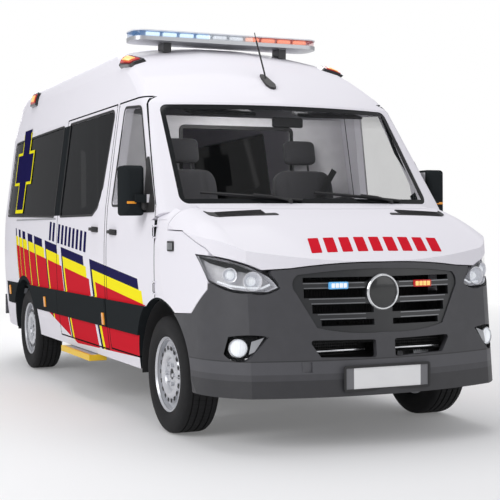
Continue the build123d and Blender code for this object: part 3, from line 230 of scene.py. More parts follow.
# Grille slat edges as (Z, half length), outward of the disc
SLATS = ((0.757, 0.395), (0.731, 0.382), (0.843, 0.440), (0.817, 0.428), (0.929, 0.470), (0.903, 0.466))
SLAT_IN = 0.112
DISC_PLACE = (2.906, 0, 0.875)

# Bonnet vent in (X, Y) from the middle outward
VENT = (
    (2.206, 0.812), (2.242, 0.790), (2.318, 0.470), (2.318, 0.390), (2.352, 0.380), (2.330, 0.770),
    (2.290, 0.806),
)

# Wipers: Y of pivot and tip
WIPERS = ((0.62, -0.02), (-0.12, -0.74))
WIPER_LOW_Z = 1.402
WIPER_HIGH_Z = 1.452

# Inner side of the mirrors, where rays onto the door behind them start, and the sail panel in (X, Z)
MIRROR_IN = 1.0175
SAIL = (
    (1.690, 1.338), (1.884, 1.338), (1.882, 1.390), (1.800, 1.505), (1.668, 1.692), (1.648, 1.686),
    (1.668, 1.540),
)

# Windows in (X, Z) on the sides
CAB_WINDOW = ((0.968, 1.395), (1.717, 1.380), (1.697, 1.532), (1.374, 2.035), (1.012, 2.061))
SIDE_WINDOW = ((-2.458, 1.364), (-0.604, 1.338), (-0.604, 2.065), (-2.458, 2.045))
SLIDE_WINDOW = (
    (-0.418, 1.337), (0.500, 1.337), (0.628, 1.390), (0.704, 1.533), (0.784, 2.020), (0.768, 2.052),
    (0.735, 2.066), (-0.418, 2.066),
)

# Rear window in (Y, Z) from the middle outward
REAR_WINDOW = ((0.688, 1.442), (0.102, 1.442), (0.102, 2.038), (0.638, 2.038))

# Roof marker lamps: name, centre and direction on the left side
ROOF_LAMPS = (
    ("front", (0.760, 0.772, 2.400), (0.21, 0.70, 0.68)),
    ("rear", (-1.960, 0.850, 2.430), (0.0, 0.93, 0.36)),
)

# Layers of a roof lamp: name, finish, slot, half length, half height, lift and thickness
ROOF_LAMP_LAYERS = (
    ("case", "gloss_black", "grey_plastic", 0.100, 0.066, 0.0, 0.026),
    ("red", "red_lens", "red_lens", 0.078, 0.047, 0.024, 0.008),
    ("amber", "amber_light", "red_lens", 0.048, 0.030, 0.031, 0.007),
)

# Aerial's foot in (X, Y)
AERIAL = (
    (1.250, -0.012), (1.290, -0.022), (1.400, -0.034), (1.445, -0.020), (1.455, 0.0), (1.445, 0.020),
    (1.400, 0.034), (1.290, 0.022), (1.250, 0.012),
)

# Rear ends of the side dashes, which leave out the sliding door's edge
DASH_PLACES = (-0.76, -0.65, -0.48, -0.37, -0.26, -0.15, -0.04, 0.07, 0.18, 0.29)
DASH_PANELS = {"right": ("sliding_door", "body_side_right"), "left": ("body_side_left",)}

# Plus signs: centre in (X, Z), and name, finish, half length, half width and lift of the two layers
PLUS_X = -1.915
PLUS_Z = 1.79
PLUS_LAYERS = (
    ("plus_edge_", "decal_yellow", 0.325, 0.150, 0.0015),
    ("plus_", "decal_navy", 0.300, 0.125, 0.0030),
)

# Lights: name, place, what it points at, size and power
LIGHTS = (
    ("key", (5.0, -8.0, 5.5), (0.0, 0.0, 1.0), 5.0, 400.0),
    ("fill", (8.0, 5.0, 3.5), (0.0, 0.0, 1.0), 5.0, 90.0),
    ("top", (-0.5, 0.0, 8.0), (0.0, 0.0, 1.0), 6.0, 240.0),
    ("back", (-8.0, 2.0, 5.0), (0.0, 0.0, 1.0), 5.0, 260.0),
    ("cab", (1.45, 0.0, 2.05), (0.70, 0.0, 1.45), 0.5, 7.0),
)
CAMERA_PLACE = (8.627, -3.301, 1.242)


def paint_colour(name, description, default):
    """A colour in the sidebar."""
    return bpy.props.FloatVectorProperty(
        name=name, description=description, subtype="COLOR", size=3, min=0, max=1, default=default
    )


def trim_length(name, description, default):
    """A length in the sidebar."""
    return bpy.props.FloatProperty(name=name, description=description, unit="LENGTH", default=default, min=0)


class AmbulancePaint(bpy.types.PropertyGroup):
    """Colours of the body and its livery"""

    white: paint_colour("White", "Body paint", (0.80, 0.785, 0.835))
    navy: paint_colour("Navy", "Livery's top band", (0.016, 0.014, 0.075))
    yellow: paint_colour("Yellow", "Livery's second band", (0.93, 0.82, 0.02))
    red: paint_colour("Red", "Livery's fill", (0.60, 0.016, 0.030))
    strip: paint_colour("Rub strip", "Side strips and mirrors", (0.019, 0.022, 0.024))
    moulding: paint_colour("Grey moulding", "Bumpers and grille", (0.052, 0.052, 0.058))


class AmbulanceSizes(bpy.types.PropertyGroup):
    """Sizes of the trim"""

    groove: trim_length("Tread groove", "Depth of the tyres' grooves", 0.008)
    seal: trim_length("Window seal", "Width of the rubber round the windows", 0.016)
    puff: trim_length("Seat crown", "How far the seats' middles stand up", 0.018)
    modules: bpy.props.IntProperty(
        name="Light modules", description="Lamps along the light bar", default=10, min=2
    )


class Value:
    """A shader socket that takes part in Python expressions."""

    def __init__(self, finish, socket):
        self.finish = finish
        self.socket = socket

    def calc(self, operation, first, second):
        return self.finish.node("ShaderNodeMath", {"operation": operation}, {0: first, 1: second})

    def __add__(self, other):
        return self.calc("ADD", self, other)

    def __sub__(self, other):
        return self.calc("SUBTRACT", self, other)

    def __rsub__(self, other):
        return self.calc("SUBTRACT", other, self)

    def __mul__(self, other):
        return self.calc("MULTIPLY", self, other)

    def __gt__(self, other):
        return self.calc("GREATER_THAN", self, other)

    def __lt__(self, other):
        return self.calc("LESS_THAN", self, other)

    def __and__(self, other):
        return self.calc("MINIMUM", self, other)

    def __or__(self, other):
        return self.calc("MAXIMUM", self, other)

    def __mod__(self, other):
        return self.calc("FLOORED_MODULO", self, other)

    def __abs__(self):
        return self.calc("ABSOLUTE", self, 0.0)

    __radd__ = __add__
    __rmul__ = __mul__


class Finish:
    """One procedural material with its nodes."""

    def __init__(self, name, colour, roughness, metallic=0.0, coat=0.0):
        self.material = bpy.data.materials.new(name)
        FINISHES[name] = self.material
        self.material.use_nodes = True
        self.tree = self.material.node_tree
        self.shader = self.tree.nodes["Principled BSDF"]
        self.set("Base Color", (*colour, 1.0))
        self.set("Roughness", roughness)
        self.set("Metallic", metallic)
        self.set("Coat Weight", coat)

    def set(self, socket, value):
        self.feed(self.shader.inputs[socket], value)

    def feed(self, socket, value):
        if isinstance(value, Value):
            self.tree.links.new(value.socket, socket)
        else:
            socket.default_value = value

    def node(self, kind, settings=None, inputs=None, output=0):
        made = self.tree.nodes.new(kind)
        for key, value in (settings or {}).items():
            setattr(made, key, value)
        for key, value in (inputs or {}).items():
            self.feed(made.inputs[key], value)
        return Value(self, made.outputs[output])

    def axes(self, source="Object"):
        coordinates = self.node("ShaderNodeTexCoord", output=source)
        split = self.tree.nodes.new("ShaderNodeSeparateXYZ")
        self.feed(split.inputs[0], coordinates)
        return [Value(self, socket) for socket in split.outputs]

    def noise(self, scale, detail=3.0):
        place = self.node("ShaderNodeTexCoord", output="Object")
        inputs = {"Vector": place, "Scale": scale, "Detail": detail}
        return self.node("ShaderNodeTexNoise", {}, inputs, "Fac")

    def blend(self, factor, low, high):
        low = low if isinstance(low, Value) else (*low, 1.0)
        high = high if isinstance(high, Value) else (*high, 1.0)
        return self.node("ShaderNodeMix", {"data_type": "RGBA"}, {0: factor, 6: low, 7: high}, 2)

    def bump(self, height, strength, distance=0.001):
        inputs = {"Strength": strength, "Distance": distance, "Height": height}
        self.set("Normal", self.node("ShaderNodeBump", {}, inputs, "Normal"))


def shade(colour, factor):
    """A colour made darker or lighter."""
    return tuple(min(1.0, channel * factor) for channel in colour)


def any_of(masks):
    """Where at least one of several masks holds."""
    return reduce(or_, masks)


def ribs(place, pitch):
    """Ridges along an axis, so many to the metre."""
    return abs((place * pitch) % 1.0 - 0.5)


def livery(finish, paint, x, y, z):
    """Where the slanted blocks lie, and their colours."""
    down = LIVERY_TOP_Z - LIVERY_FALL * (x - LIVERY_TOP_X) - z
    along = x - LIVERY_LEAN * down
    sill = any_of([height + slope * (x - place) for height, slope, place in LIVERY_SILL])
    zone = (abs(y) > SKIN_HALF) & (z > sill) & (down > 0.0) & (x < LIVERY_FRONT_X)
    step = BAND_STEP * ((down > NAVY_DEEP) + (down > YELLOW_DEEP))
    blocks = []
    navy = [down < NAVY_DEEP]
    yellow = [down < YELLOW_DEEP]
    for rear, front, line in LIVERY_BLOCKS:
        inside = (along > rear) & (along - step < front)
        blocks.append(inside)
        navy.append(inside & (along < rear + line))
        yellow.append(inside & (along < rear + YELLOW_LINE * line))
    colour = finish.blend(any_of(yellow), paint.red, paint.yellow)
    colour = finish.blend(any_of(navy), colour, paint.navy)
    return any_of(blocks) & zone, colour


def black_parts(x, y, z):
    """Where the panels are black: rub strips, mirrors, window pillar, arch lips and door seams."""
    strip = (z > STRIP["low"]) & (z < STRIP["high"]) & (x > STRIP["rear"]) & (x < STRIP["front"])
    pillar = (abs(x - PILLAR["x"]) < PILLAR["half_x"]) & (abs(z - PILLAR["z"]) < PILLAR["half_z"])
    masks = [
        (abs(y) > SKIN_HALF) & strip,
        (abs(y) > MIRROR_ZONE["out"]) & (z > MIRROR_ZONE["low"]) & (x > MIRROR_ZONE["rear"]),
        (y < -PILLAR["out"]) & pillar,
    ]
    for wheel_x, radius in ARCHES:
        ahead = x - wheel_x
        above = z - AXLE_Z
        masks.append((ahead * ahead + above * above < radius * radius) & (abs(y) > 0.7))
    for at, low, high, side in UPRIGHT_SEAMS:
        masks.append((abs(x - at) < SEAM_HALF) & (z > low) & (z < high) & (side * y > SEAM_OUT))
    for at, rear, front, side in LEVEL_SEAMS:
        masks.append((abs(z - at) < SEAM_HALF) & (x > rear) & (x < front) & (side * y > SEAM_OUT))
    beside = abs(x + RAKE["lean"] * (z - RAKE["foot_z"]) - RAKE["foot_x"]) < SEAM_HALF * 1.2
    masks.append(beside & (z > RAKE["foot_z"]) & (z < RAKE["top_z"]) & (abs(y) > RAKE["out"]))
    return any_of(masks)


def painted_panels(paint):
    """White paint with the slanted livery and the black parts."""
    finish = Finish("painted_panels", paint.white, 0.38)
    finish.set("Coat Roughness", 0.10)
    finish.set("Specular IOR Level", 0.0)
    x, y, z = finish.axes()
    block, colour = livery(finish, paint, x, y, z)
    black = black_parts(x, y, z)
    dust = finish.noise(6.0) * ((z < 0.5) * 0.2)
    white = finish.blend(dust + 0.05 * finish.noise(1.3), paint.white, shade(paint.white, 0.72))
    colour = finish.blend(block, white, colour)
    finish.set("Base Color", finish.blend(black, colour, paint.strip))
    finish.set("Roughness", 0.30 + 0.16 * black + 0.05 * finish.noise(40.0))
    finish.set("Coat Weight", 0.16 - 0.13 * (block | black))
    finish.bump(finish.noise(700.0, 2.0), 0.05, 0.0004)


def screen_glass():
    """Clear windscreen with a black printed border."""
    low, high, border = 1.388, 2.040, 0.030
    foot_half, taper, shade_z = 0.872, 0.0644, 1.90
    finish = Finish("screen_glass", (0.008, 0.009, 0.010), 0.03)
    finish.set("Specular IOR Level", 0.25)
    _, y, z = finish.axes()
    half = foot_half - taper * (z - low)
    edge = border + 0.003 * finish.noise(3.0)
    printed = (abs(y) > half - edge) | (z < low + border) | (z > high - border)
    shade_band = (z > shade_z) * 0.25 * (z - shade_z) * 7.0
    finish.set("Alpha", printed | (0.10 + shade_band))
    finish.bump(finish.noise(9.0), 0.02)


def clear_pane(name, colour, alpha, roughness=0.04, specular=0.25):
    """Glass or lens pane that light passes through."""
    finish = Finish(name, colour, roughness)
    finish.set("Specular IOR Level", specular)
    wander = finish.noise(5.0)
    finish.set("Alpha", alpha + 0.03 * (wander - 0.5))
    finish.bump(wander, 0.015)


def bar_lens():
    """Light bar lens, blue on the right, clear in the middle and red on the left."""
    finish = Finish("bar_lens", (0.8, 0.85, 0.9), 0.08)
    blue_end, red_start = -0.16, 0.19
    _, y, _ = finish.axes()
    tint = finish.blend(y > blue_end, (0.10, 0.36, 0.85), (0.82, 0.88, 0.95))
    finish.set("Base Color", finish.blend(y > red_start, tint, (0.80, 0.03, 0.04)))
    fine = ribs(y, 90.0)
    finish.set("Alpha", 0.28 + 0.10 * fine)
    finish.bump(fine, 0.15)


def bar_casing():
    """Silver base and lid of the light bar on black feet."""
    finish = Finish("bar_casing", (0.55, 0.56, 0.58), 0.32, metallic=0.6)
    _, _, z = finish.axes()
    foot = z < 2.587
    lid = z > 2.652
    colour = finish.blend(lid, (0.50, 0.51, 0.53), (0.72, 0.74, 0.78))
    finish.set("Base Color", finish.blend(foot, colour, (0.02, 0.02, 0.022)))
    finish.set("Metallic", 0.6 - 0.6 * (foot | lid))
    finish.set("Roughness", 0.30 + 0.08 * finish.noise(30.0))
    finish.bump(finish.noise(400.0), 0.05)


def tail_lens():
    """Tail lamp in red, amber and white bands."""
    finish = Finish("tail_lens", (0.5, 0.01, 0.01), 0.12, coat=0.8)
    _, _, z = finish.axes()
    colour = finish.blend(z < 1.07, (0.52, 0.008, 0.010), (0.80, 0.30, 0.02))
    finish.set("Base Color", finish.blend(z < 0.98, colour, (0.75, 0.75, 0.76)))
    fine = ribs(z, 70.0)
    finish.set("Roughness", 0.10 + 0.1 * fine)
    finish.bump(fine, 0.3)


def tyre_rubber():
    """Rubber with cross cuts over the tread, painted darker as shade in the cuts, and rings on the wall, on
    the wheel's own map.
    """
    finish = Finish("tyre_rubber", (0.02, 0.02, 0.021), 0.75)
    finish.set("Specular IOR Level", 0.25)
    turn, over, _ = finish.axes("UV")
    tread = abs(over - 0.5) < 0.17
    cuts = tread & (abs((turn * 76.0 + 1.5 * over) % 1.0 - 0.5) < 0.07)
    worn = finish.noise(30.0)
    colour = finish.blend(worn, (0.009, 0.009, 0.010), (0.022, 0.022, 0.023))
    # The cross cuts are painted near black: painted shade in the cuts.
    finish.set("Base Color", finish.blend(cuts, colour, (0.006, 0.006, 0.006)))
    finish.set("Roughness", 0.70 + 0.15 * worn)
    rings = ribs(over, 60.0) * (1 - tread)
    finish.bump(rings - 1.6 * cuts + 0.3 * finish.noise(300.0), 0.35, 0.003)


def seat_cloth():
    """Woven dark seat cloth."""
    finish = Finish("seat_cloth", (0.03, 0.03, 0.034), 0.9)
    x, y, z = finish.axes()
    weave = ribs(y, 260.0) + ribs(x + z, 260.0)
    wear = finish.noise(12.0)
    thread = weave * 0.6 + 0.4 * wear
    finish.set("Base Color", finish.blend(thread, (0.016, 0.016, 0.018), (0.055, 0.054, 0.060)))
    finish.set("Roughness", 0.85 + 0.1 * wear)
    finish.bump(weave, 0.4)
    finish.set("Sheen Weight", 0.2)


def step_tread():
    """Ribbed aluminium tread between yellow edges, with painted shade between the ribs and a painted
    highlight on them.
    """
    finish = Finish("step_tread", (0.62, 0.63, 0.65), 0.38, metallic=0.7)
    x, y, _ = finish.axes()
    edge = (y < -1.012) | (abs(x - 0.1125) > 0.375)
    bars = ribs(x, 40.0)
    # Colour follows the ribs: painted shade in the grooves, painted highlight on the ribs.
    colour = finish.blend(bars, (0.40, 0.41, 0.43), (0.68, 0.69, 0.71))
    finish.set("Base Color", finish.blend(edge, colour, (0.86, 0.55, 0.02)))
    finish.set("Metallic", 0.7 - 0.7 * edge)
    finish.set("Roughness", 0.36 + 0.2 * finish.noise(60.0))
    finish.bump(bars, 0.4, 0.003)


def bumper_moulding(grey):
    """Grained grey moulding with painted light: a painted highlight along the bumper's raised band, and
    painted shade in the fold above it and under the bumper.
    """
    finish = Finish("grey_moulding", grey, 0.44)
    _, _, z = finish.axes()
    # Painted highlight on the bumper's raised band; painted shade in the fold over it and under the bumper's
    # lower lip.
    ridge_highlight = abs(z - 0.468) < 0.034
    crease_shade = abs(z - 0.506) < 0.003
    under = z < 0.40
    colour = finish.blend(finish.noise(14.0), shade(grey, 0.86), shade(grey, 1.12))
    colour = finish.blend(0.35 * ridge_highlight, colour, shade(grey, 2.2))
    colour = finish.blend(0.7 * crease_shade | 0.5 * under, colour, shade(grey, 0.2))
    finish.set("Base Color", colour)
    finish.set("Roughness", 0.44 + 0.12 * finish.noise(22.0))
    finish.bump(finish.noise(900.0, 2.0), 0.2)


def blank_plate():
    """White plate between grey ends of its holder."""
    finish = Finish("blank_plate", (0.80, 0.80, 0.80), 0.4)
    _, y, _ = finish.axes()
    white = finish.blend(finish.noise(8.0), (0.76, 0.76, 0.77), (0.82, 0.82, 0.82))
    finish.set("Base Color", finish.blend(abs(y) > 0.214, white, (0.16, 0.16, 0.17)))
    finish.set("Roughness", 0.35 + 0.1 * finish.noise(50.0))
    finish.bump(finish.noise(300.0), 0.05)


def lamp_light(name, colour, glow):
    """A lit lamp element with fine ribs."""
    finish = Finish(name, colour, 0.2)
    _, y, _ = finish.axes()
    fine = ribs(y, 120.0)
    finish.set("Base Color", finish.blend(fine, shade(colour, 0.7), colour))
    finish.set("Emission Color", finish.blend(fine, shade(colour, 0.8), colour))
    finish.set("Emission Strength", glow)


def plain_finish(
    name, colour, roughness, metallic=0.0, coat=0.0, scale=14.0, grain=500.0, strength=0.12, specular=0.5
):
    """Moulded, painted or metal surface with a slight wander in colour and a fine grain."""
    finish = Finish(name, colour, roughness, metallic, coat)
    finish.set("Specular IOR Level", specular)
    wander = finish.noise(scale)
    finish.set("Base Color", finish.blend(wander, shade(colour, 0.86), shade(colour, 1.12)))
    finish.set("Roughness", roughness + 0.12 * (wander - 0.5))
    finish.bump(finish.noise(grain, 2.0), strength)


def make_finishes(paint):
    """Every finish, kept by name."""
    painted_panels(paint)
    bumper_moulding(paint.moulding)
    makers = (screen_glass, bar_lens, bar_casing, tail_lens, tyre_rubber, seat_cloth, step_tread, blank_plate)
    for make in makers:
        make()
    for name, (colour, alpha, settings) in PANES.items():
        clear_pane(name, colour, alpha, **settings)
    for name, (colour, glow) in LAMP_FINISHES.items():
        lamp_light(name, colour, glow)
    for name, (colour, roughness, settings) in PLAIN_FINISHES.items():
        plain_finish(name, colour, roughness, **settings)
    for name in ("navy", "yellow", "red"):
        plain_finish("decal_" + name, getattr(paint, name), 0.4, specular=0.0)


class Skin:
    """Outer surface of some CAD nodes, found by rays from outside."""

    def __init__(self, *nodes, reach=4.0):
        self.reach = reach
        points, faces = [], []
        for node in nodes:
            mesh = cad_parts[node].data
            first = len(points)
            points += [vertex.co.copy() for vertex in mesh.vertices]
            faces += [[first + index for index in polygon.vertices] for polygon in mesh.polygons]
        self.tree = BVHTree.FromPolygons(points, faces)

    def hit(self, start, way):
        point, normal, _, _ = self.tree.ray_cast(Vector(start), Vector(way))
        if point is None:
            point, normal, _, _ = self.tree.find_nearest(Vector(start) + self.reach * Vector(way))
        return point, normal if normal.dot(Vector(way)) < 0 else -normal

    def side(self, side):
        """Finder of places (X, Z) on the right side (-1) or the left (1)."""
        def look(x, z):
            return self.hit((x, side * self.reach, z), (0, -side, 0))
        return look

    def front(self, y, z):
        return self.hit((5.0, y, z), (-1, 0, 0))

    def back(self, y, z):
        return self.hit((-5.0, y, z), (1, 0, 0))

    def top(self, x, y):
        return self.hit((x, y, 4.0), (0, 0, -1))


def upright(x, way):
    """Flat face across the van that looks forward (1) or back (-1)."""
    def project(y, z):
        return Vector((x, y, z)), Vector((way, 0, 0))
    return project


def sunk(lens, depth):
    """Places on a lamp lens, set back by a depth."""
    def project(y, z):
        return lens.front(y, z)[0] - AHEAD * depth, AHEAD
    return project


def on_side(side, points):
    """Points (Y, Z) given from the middle outward, on the right (-1) or the left (1)."""
    return [(side * y, z) for y, z in points]


def finished(name, work, finish, body="body", smooth_deg=35.0):
    """Turn a worked mesh into a piece that rides on a body."""
    bmesh.ops.remove_doubles(work, verts=work.verts, dist=1e-6)
    bmesh.ops.recalc_face_normals(work, faces=work.faces)
    mesh = bpy.data.meshes.new(name)
    work.to_mesh(mesh)
    work.free()
    mesh.polygons.foreach_set("use_smooth", [True] * len(mesh.polygons))
    mesh.set_sharp_from_angle(angle=radians(smooth_deg))
    mesh.materials.append(FINISHES[finish])
    return placed(name, mesh, body)


def placed(name, mesh, body):
    """Put a mesh into the scene as a piece on a body."""
    piece = bpy.data.objects.new(name, mesh)
    bpy.context.scene.collection.objects.link(piece)
    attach(piece, body)
    return piece


def edges_of(verts):
    """Edges that meet at some points, each once and in a steady order."""
    return list(dict.fromkeys(edge for vert in verts for edge in vert.link_edges))


def add_box(work, centre, size, bevel=0.0, turn=None, segments=2):
    """Box with rounded edges."""
    verts = bmesh.ops.create_cube(work, size=1.0)["verts"]
    place = Matrix.Translation(centre) @ (turn or Matrix.Identity(4)) @ Matrix.Diagonal((*size, 1.0))
    bmesh.ops.transform(work, matrix=place, verts=verts)
    if bevel:
        bmesh.ops.bevel(
            work, geom=edges_of(verts), offset=bevel, segments=segments, profile=0.5, affect="EDGES"
        )


def across(way):
    """Two directions square to a given one."""
    way = Vector(way).normalized()
    side = way.cross(Vector((0, 0, 1))) if abs(way.z) < 0.9 else way.cross(Vector((0, 1, 0)))
    side.normalize()
    return side, way.cross(side)


def add_lathe(work, profile, centre, way, steps=40, closed=False):
    """Turn a profile of (along, radius) about an axis, with a map of (turn, share of the profile)."""
    side, up = across(way)
    way = Vector(way).normalized()
    wrap = work.loops.layers.uv.verify()
    rings = []
    for along, radius in profile:
        middle = Vector(centre) + along * way
        if radius < 1e-6:
            rings.append([work.verts.new(middle)] * steps)
            continue
        turns = [2 * pi * k / steps for k in range(steps)]
        rings.append([work.verts.new(middle + radius * (cos(a) * side + sin(a) * up)) for a in turns])
    count = len(rings)
    for index in range(count if closed else count - 1):
        here, there = rings[index], rings[(index + 1) % count]
        for k in range(steps):
            corners = [(here[k], k, 0), (here[(k + 1) % steps], k + 1, 0)]
            corners += [(there[(k + 1) % steps], k + 1, 1), (there[k], k, 1)]
            unique = []
            for corner in corners:
                if corner[0] not in [kept[0] for kept in unique]:
                    unique.append(corner)
            if len(unique) < 3:
                continue
            face = work.faces.new([corner[0] for corner in unique])
            for loop, corner in zip(face.loops, unique):
                loop[wrap].uv = (corner[1] / steps, (index + corner[2]) / count)


def add_tube(work, points, radius, sides=8):
    """Round bar through points."""
    points = [Vector(point) for point in points]
    rings = []
    for index, point in enumerate(points):
        run = points[min(index + 1, len(points) - 1)] - points[max(index - 1, 0)]
        side, up = across(run)
        turns = [2 * pi * k / sides for k in range(sides)]
        rings.append([work.verts.new(point + radius * (cos(a) * side + sin(a) * up)) for a in turns])
    for here, there in zip(rings, rings[1:]):
        for k in range(sides):
            work.faces.new((here[k], here[(k + 1) % sides], there[(k + 1) % sides], there[k]))
    work.faces.new(rings[0])
    work.faces.new(rings[-1])


def add_band(work, spots, width, height, closed=False):
    """Flat band lying on a surface through spots of (point, normal)."""
    rings = []
    count = len(spots)
    offsets = ((-0.5, -0.5), (0.5, -0.5), (0.5, 1.0), (-0.5, 1.0))
    for index, (point, normal) in enumerate(spots):
        before = spots[index - 1][0] if closed or index else point
        after = spots[(index + 1) % count][0] if closed or index + 1 < count else point
        side = normal.cross(after - before).normalized()
        places = [point + side * width * s + normal * height * h for s, h in offsets]
        rings.append([work.verts.new(place) for place in places])
    pairs = list(zip(rings, rings[1:]))
    if closed:
        pairs.append((rings[-1], rings[0]))
    for here, there in pairs:
        for k in range(4):
            work.faces.new((here[k], here[(k + 1) % 4], there[(k + 1) % 4], there[k]))
    if not closed:
        work.faces.new(rings[0])
        work.faces.new(rings[-1])


def add_patch(work, outline, project, lift, thick, step=0.05):
    """Sheet over an outline that follows the surface under it."""
    flat = bmesh.new()
    flat.faces.new([flat.verts.new((u, v, 0)) for u, v in outline])
    for axis in (0, 1):
        low, high = min(point[axis] for point in outline), max(point[axis] for point in outline)
        cut = low + step
        while cut < high:
            where = [0, 0, 0]
            where[axis] = cut
            way = [0, 0, 0]
            way[axis] = 1
            geometry = flat.verts[:] + flat.edges[:] + flat.faces[:]
            bmesh.ops.bisect_plane(flat, geom=geometry, plane_co=where, plane_no=way, dist=1e-7)
            cut += step
    flat.verts.index_update()
    rim = [edge for edge in flat.edges if len(edge.link_faces) == 1]
    upper, lower = [], []
    for vert in flat.verts:
        point, normal = project(vert.co.x, vert.co.y)
        upper.append(work.verts.new(point + normal * (lift + thick)))
        lower.append(work.verts.new(point + normal * lift))
    for face in flat.faces:
        indices = [vert.index for vert in face.verts]
        work.faces.new([upper[index] for index in indices])
        work.faces.new([lower[index] for index in reversed(indices)])
    for edge in rim:
        a, b = edge.verts[0].index, edge.verts[1].index
        work.faces.new((upper[a], upper[b], lower[b], lower[a]))
    flat.free()


def rounded(corners, radius, steps=4):
    """Outline with its corners rounded by arcs."""
    points = []
    count = len(corners)
    for index, corner in enumerate(corners):
        here = Vector(corner)
        back = (Vector(corners[index - 1]) - here).normalized()
        ahead = (Vector(corners[(index + 1) % count]) - here).normalized()
        start, end = here + back * radius, here + ahead * radius
        for k in range(steps + 1):
            t = k / steps
            points.append(tuple((1 - t) ** 2 * start + 2 * t * (1 - t) * here + t * t * end))
    return points


def rectangle(first, last, radius, steps=4):
    """Rounded rectangle between two opposite corners."""
    return rounded([first, (last[0], first[1]), last, (first[0], last[1])], radius, steps)


def dense(outline, step=0.06):
    """Closed outline with points added along its long runs."""
    points = []
    for here, there in zip(outline, outline[1:] + outline[:1]):
        here, there = Vector(here), Vector(there)
        count = max(1, int((there - here).length / step))
        points += [tuple(here.lerp(there, k / count)) for k in range(count)]
    return points


def box_piece(name, boxes, finish, body="body"):
    """Piece of rounded boxes, each given as (centre, size, bevel)."""
    work = bmesh.new()
    for box in boxes:
        add_box(work, *box)
    return finished(name, work, finish, body)


def lathe_piece(name, turned, finish, body="body", closed=False):
    """Piece turned from (profile, centre, way, steps)."""
    work = bmesh.new()
    add_lathe(work, *turned, closed=closed)
    return finished(name, work, finish, body)


def band_piece(name, spots, width, height, finish, body="body", closed=False):
    """Piece that is one flat band."""
    work = bmesh.new()
    add_band(work, spots, width, height, closed)
    return finished(name, work, finish, body)


def patch_piece(name, sheet, finish, body="body"):
    """Piece that is one sheet, given as (outline, project, lift, thick, step)."""
    work = bmesh.new()
    add_patch(work, *sheet)
    return finished(name, work, finish, body)


def repeat_along_line(name, count, spacing, size, finish):
    """Geometry Nodes row of bars: a line of instances, realized, as a plain mesh."""
    tree = bpy.data.node_groups.new(name, "GeometryNodeTree")
    sockets = tree.interface
    sockets.new_socket("Geometry", in_out="OUTPUT", socket_type="NodeSocketGeometry")
    settings = (
        ("Count", "NodeSocketInt", count),
        ("Spacing", "NodeSocketVector", spacing),
        ("Bar size", "NodeSocketVector", size),
    )
    names = {}
    for label, kind, _ in settings:
        names[label] = sockets.new_socket(label, in_out="INPUT", socket_type=kind).identifier
    source = tree.nodes.new("NodeGroupInput")
    result = tree.nodes.new("NodeGroupOutput")
    line = tree.nodes.new("GeometryNodeMeshLine")
    line.mode = "OFFSET"
    bar = tree.nodes.new("GeometryNodeMeshCube")
    copies = tree.nodes.new("GeometryNodeInstanceOnPoints")
    real = tree.nodes.new("GeometryNodeRealizeInstances")
    coat = tree.nodes.new("GeometryNodeSetMaterial")
    coat.inputs["Material"].default_value = FINISHES[finish]
    links = (
        (source.outputs["Count"], line.inputs["Count"]),
        (source.outputs["Spacing"], line.inputs["Offset"]),
        (source.outputs["Bar size"], bar.inputs["Size"]),
        (line.outputs[0], copies.inputs["Points"]),
        (bar.outputs[0], copies.inputs["Instance"]),
        (copies.outputs[0], real.inputs[0]),
        (real.outputs[0], coat.inputs["Geometry"]),
        (coat.outputs[0], result.inputs[0]),
    )
    for start, end in links:
        tree.links.new(start, end)
    carrier = bpy.data.objects.new(name + "_carrier", bpy.data.meshes.new(name + "_carrier"))
    bpy.context.scene.collection.objects.link(carrier)
    modifier = carrier.modifiers.new("Row", "NODES")
    modifier.node_group = tree
    for label, _, value in settings:
        modifier[names[label]] = value
    graph = bpy.context.evaluated_depsgraph_get()
    mesh = bpy.data.meshes.new_from_object(carrier.evaluated_get(graph))
    bpy.data.objects.remove(carrier)
    mesh.name = name
    if not mesh.vertices:
        raise RuntimeError(f"{name} has no bars")
    return mesh


def row_piece(name, first, count, spacing, size, finish):
    """A realized row of bars on the body, its first bar at a given place."""
    mesh = repeat_along_line(name, count, spacing, size, finish)
    mesh.transform(Matrix.Translation(first))
    return placed(name, mesh, "body")


class AMBULANCE_OT_finishes(bpy.types.Operator):
    """Give every CAD node its procedural finish"""

    bl_idname = "ambulance.finishes"
    bl_label = "Paint and finishes"

    def execute(self, context):
        make_finishes(context.scene.ambulance_paint)
        for finish, nodes in NODE_FINISHES.items():
            for node in nodes.split():
                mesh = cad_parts[node].data
                mesh.materials.clear()
                mesh.materials.append(FINISHES[finish])
        return {"FINISHED"}


class AMBULANCE_OT_tyres(bpy.types.Operator):
    """Tyres with tread grooves and shaped walls"""

    bl_idname = "ambulance.tyres"
    bl_label = "Tyres"

    def execute(self, context):
        floor = TREAD_RADIUS - context.scene.ambulance_sizes.groove
        half = list(TYRE_WALL)
        for middle, width in TYRE_GROOVES:
            half += [(middle + width / 2, TREAD_RADIUS), (middle + width * 0.35, floor)]
            half += [(middle - width * 0.35, floor), (middle - width / 2, TREAD_CROWN)]
        profile = half + [(-along, radius) for along, radius in reversed(half)]
        for wheel, (x, side) in WHEELS.items():
            turned = (profile, (x, side * WHEEL_Y, AXLE_Z), (0, side, 0), 96)
            body = "wheel_" + wheel
            piece = lathe_piece("tread_" + wheel, turned, "tyre_rubber", body, closed=True)
            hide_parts("tyre_" + wheel)
        return {"FINISHED"}


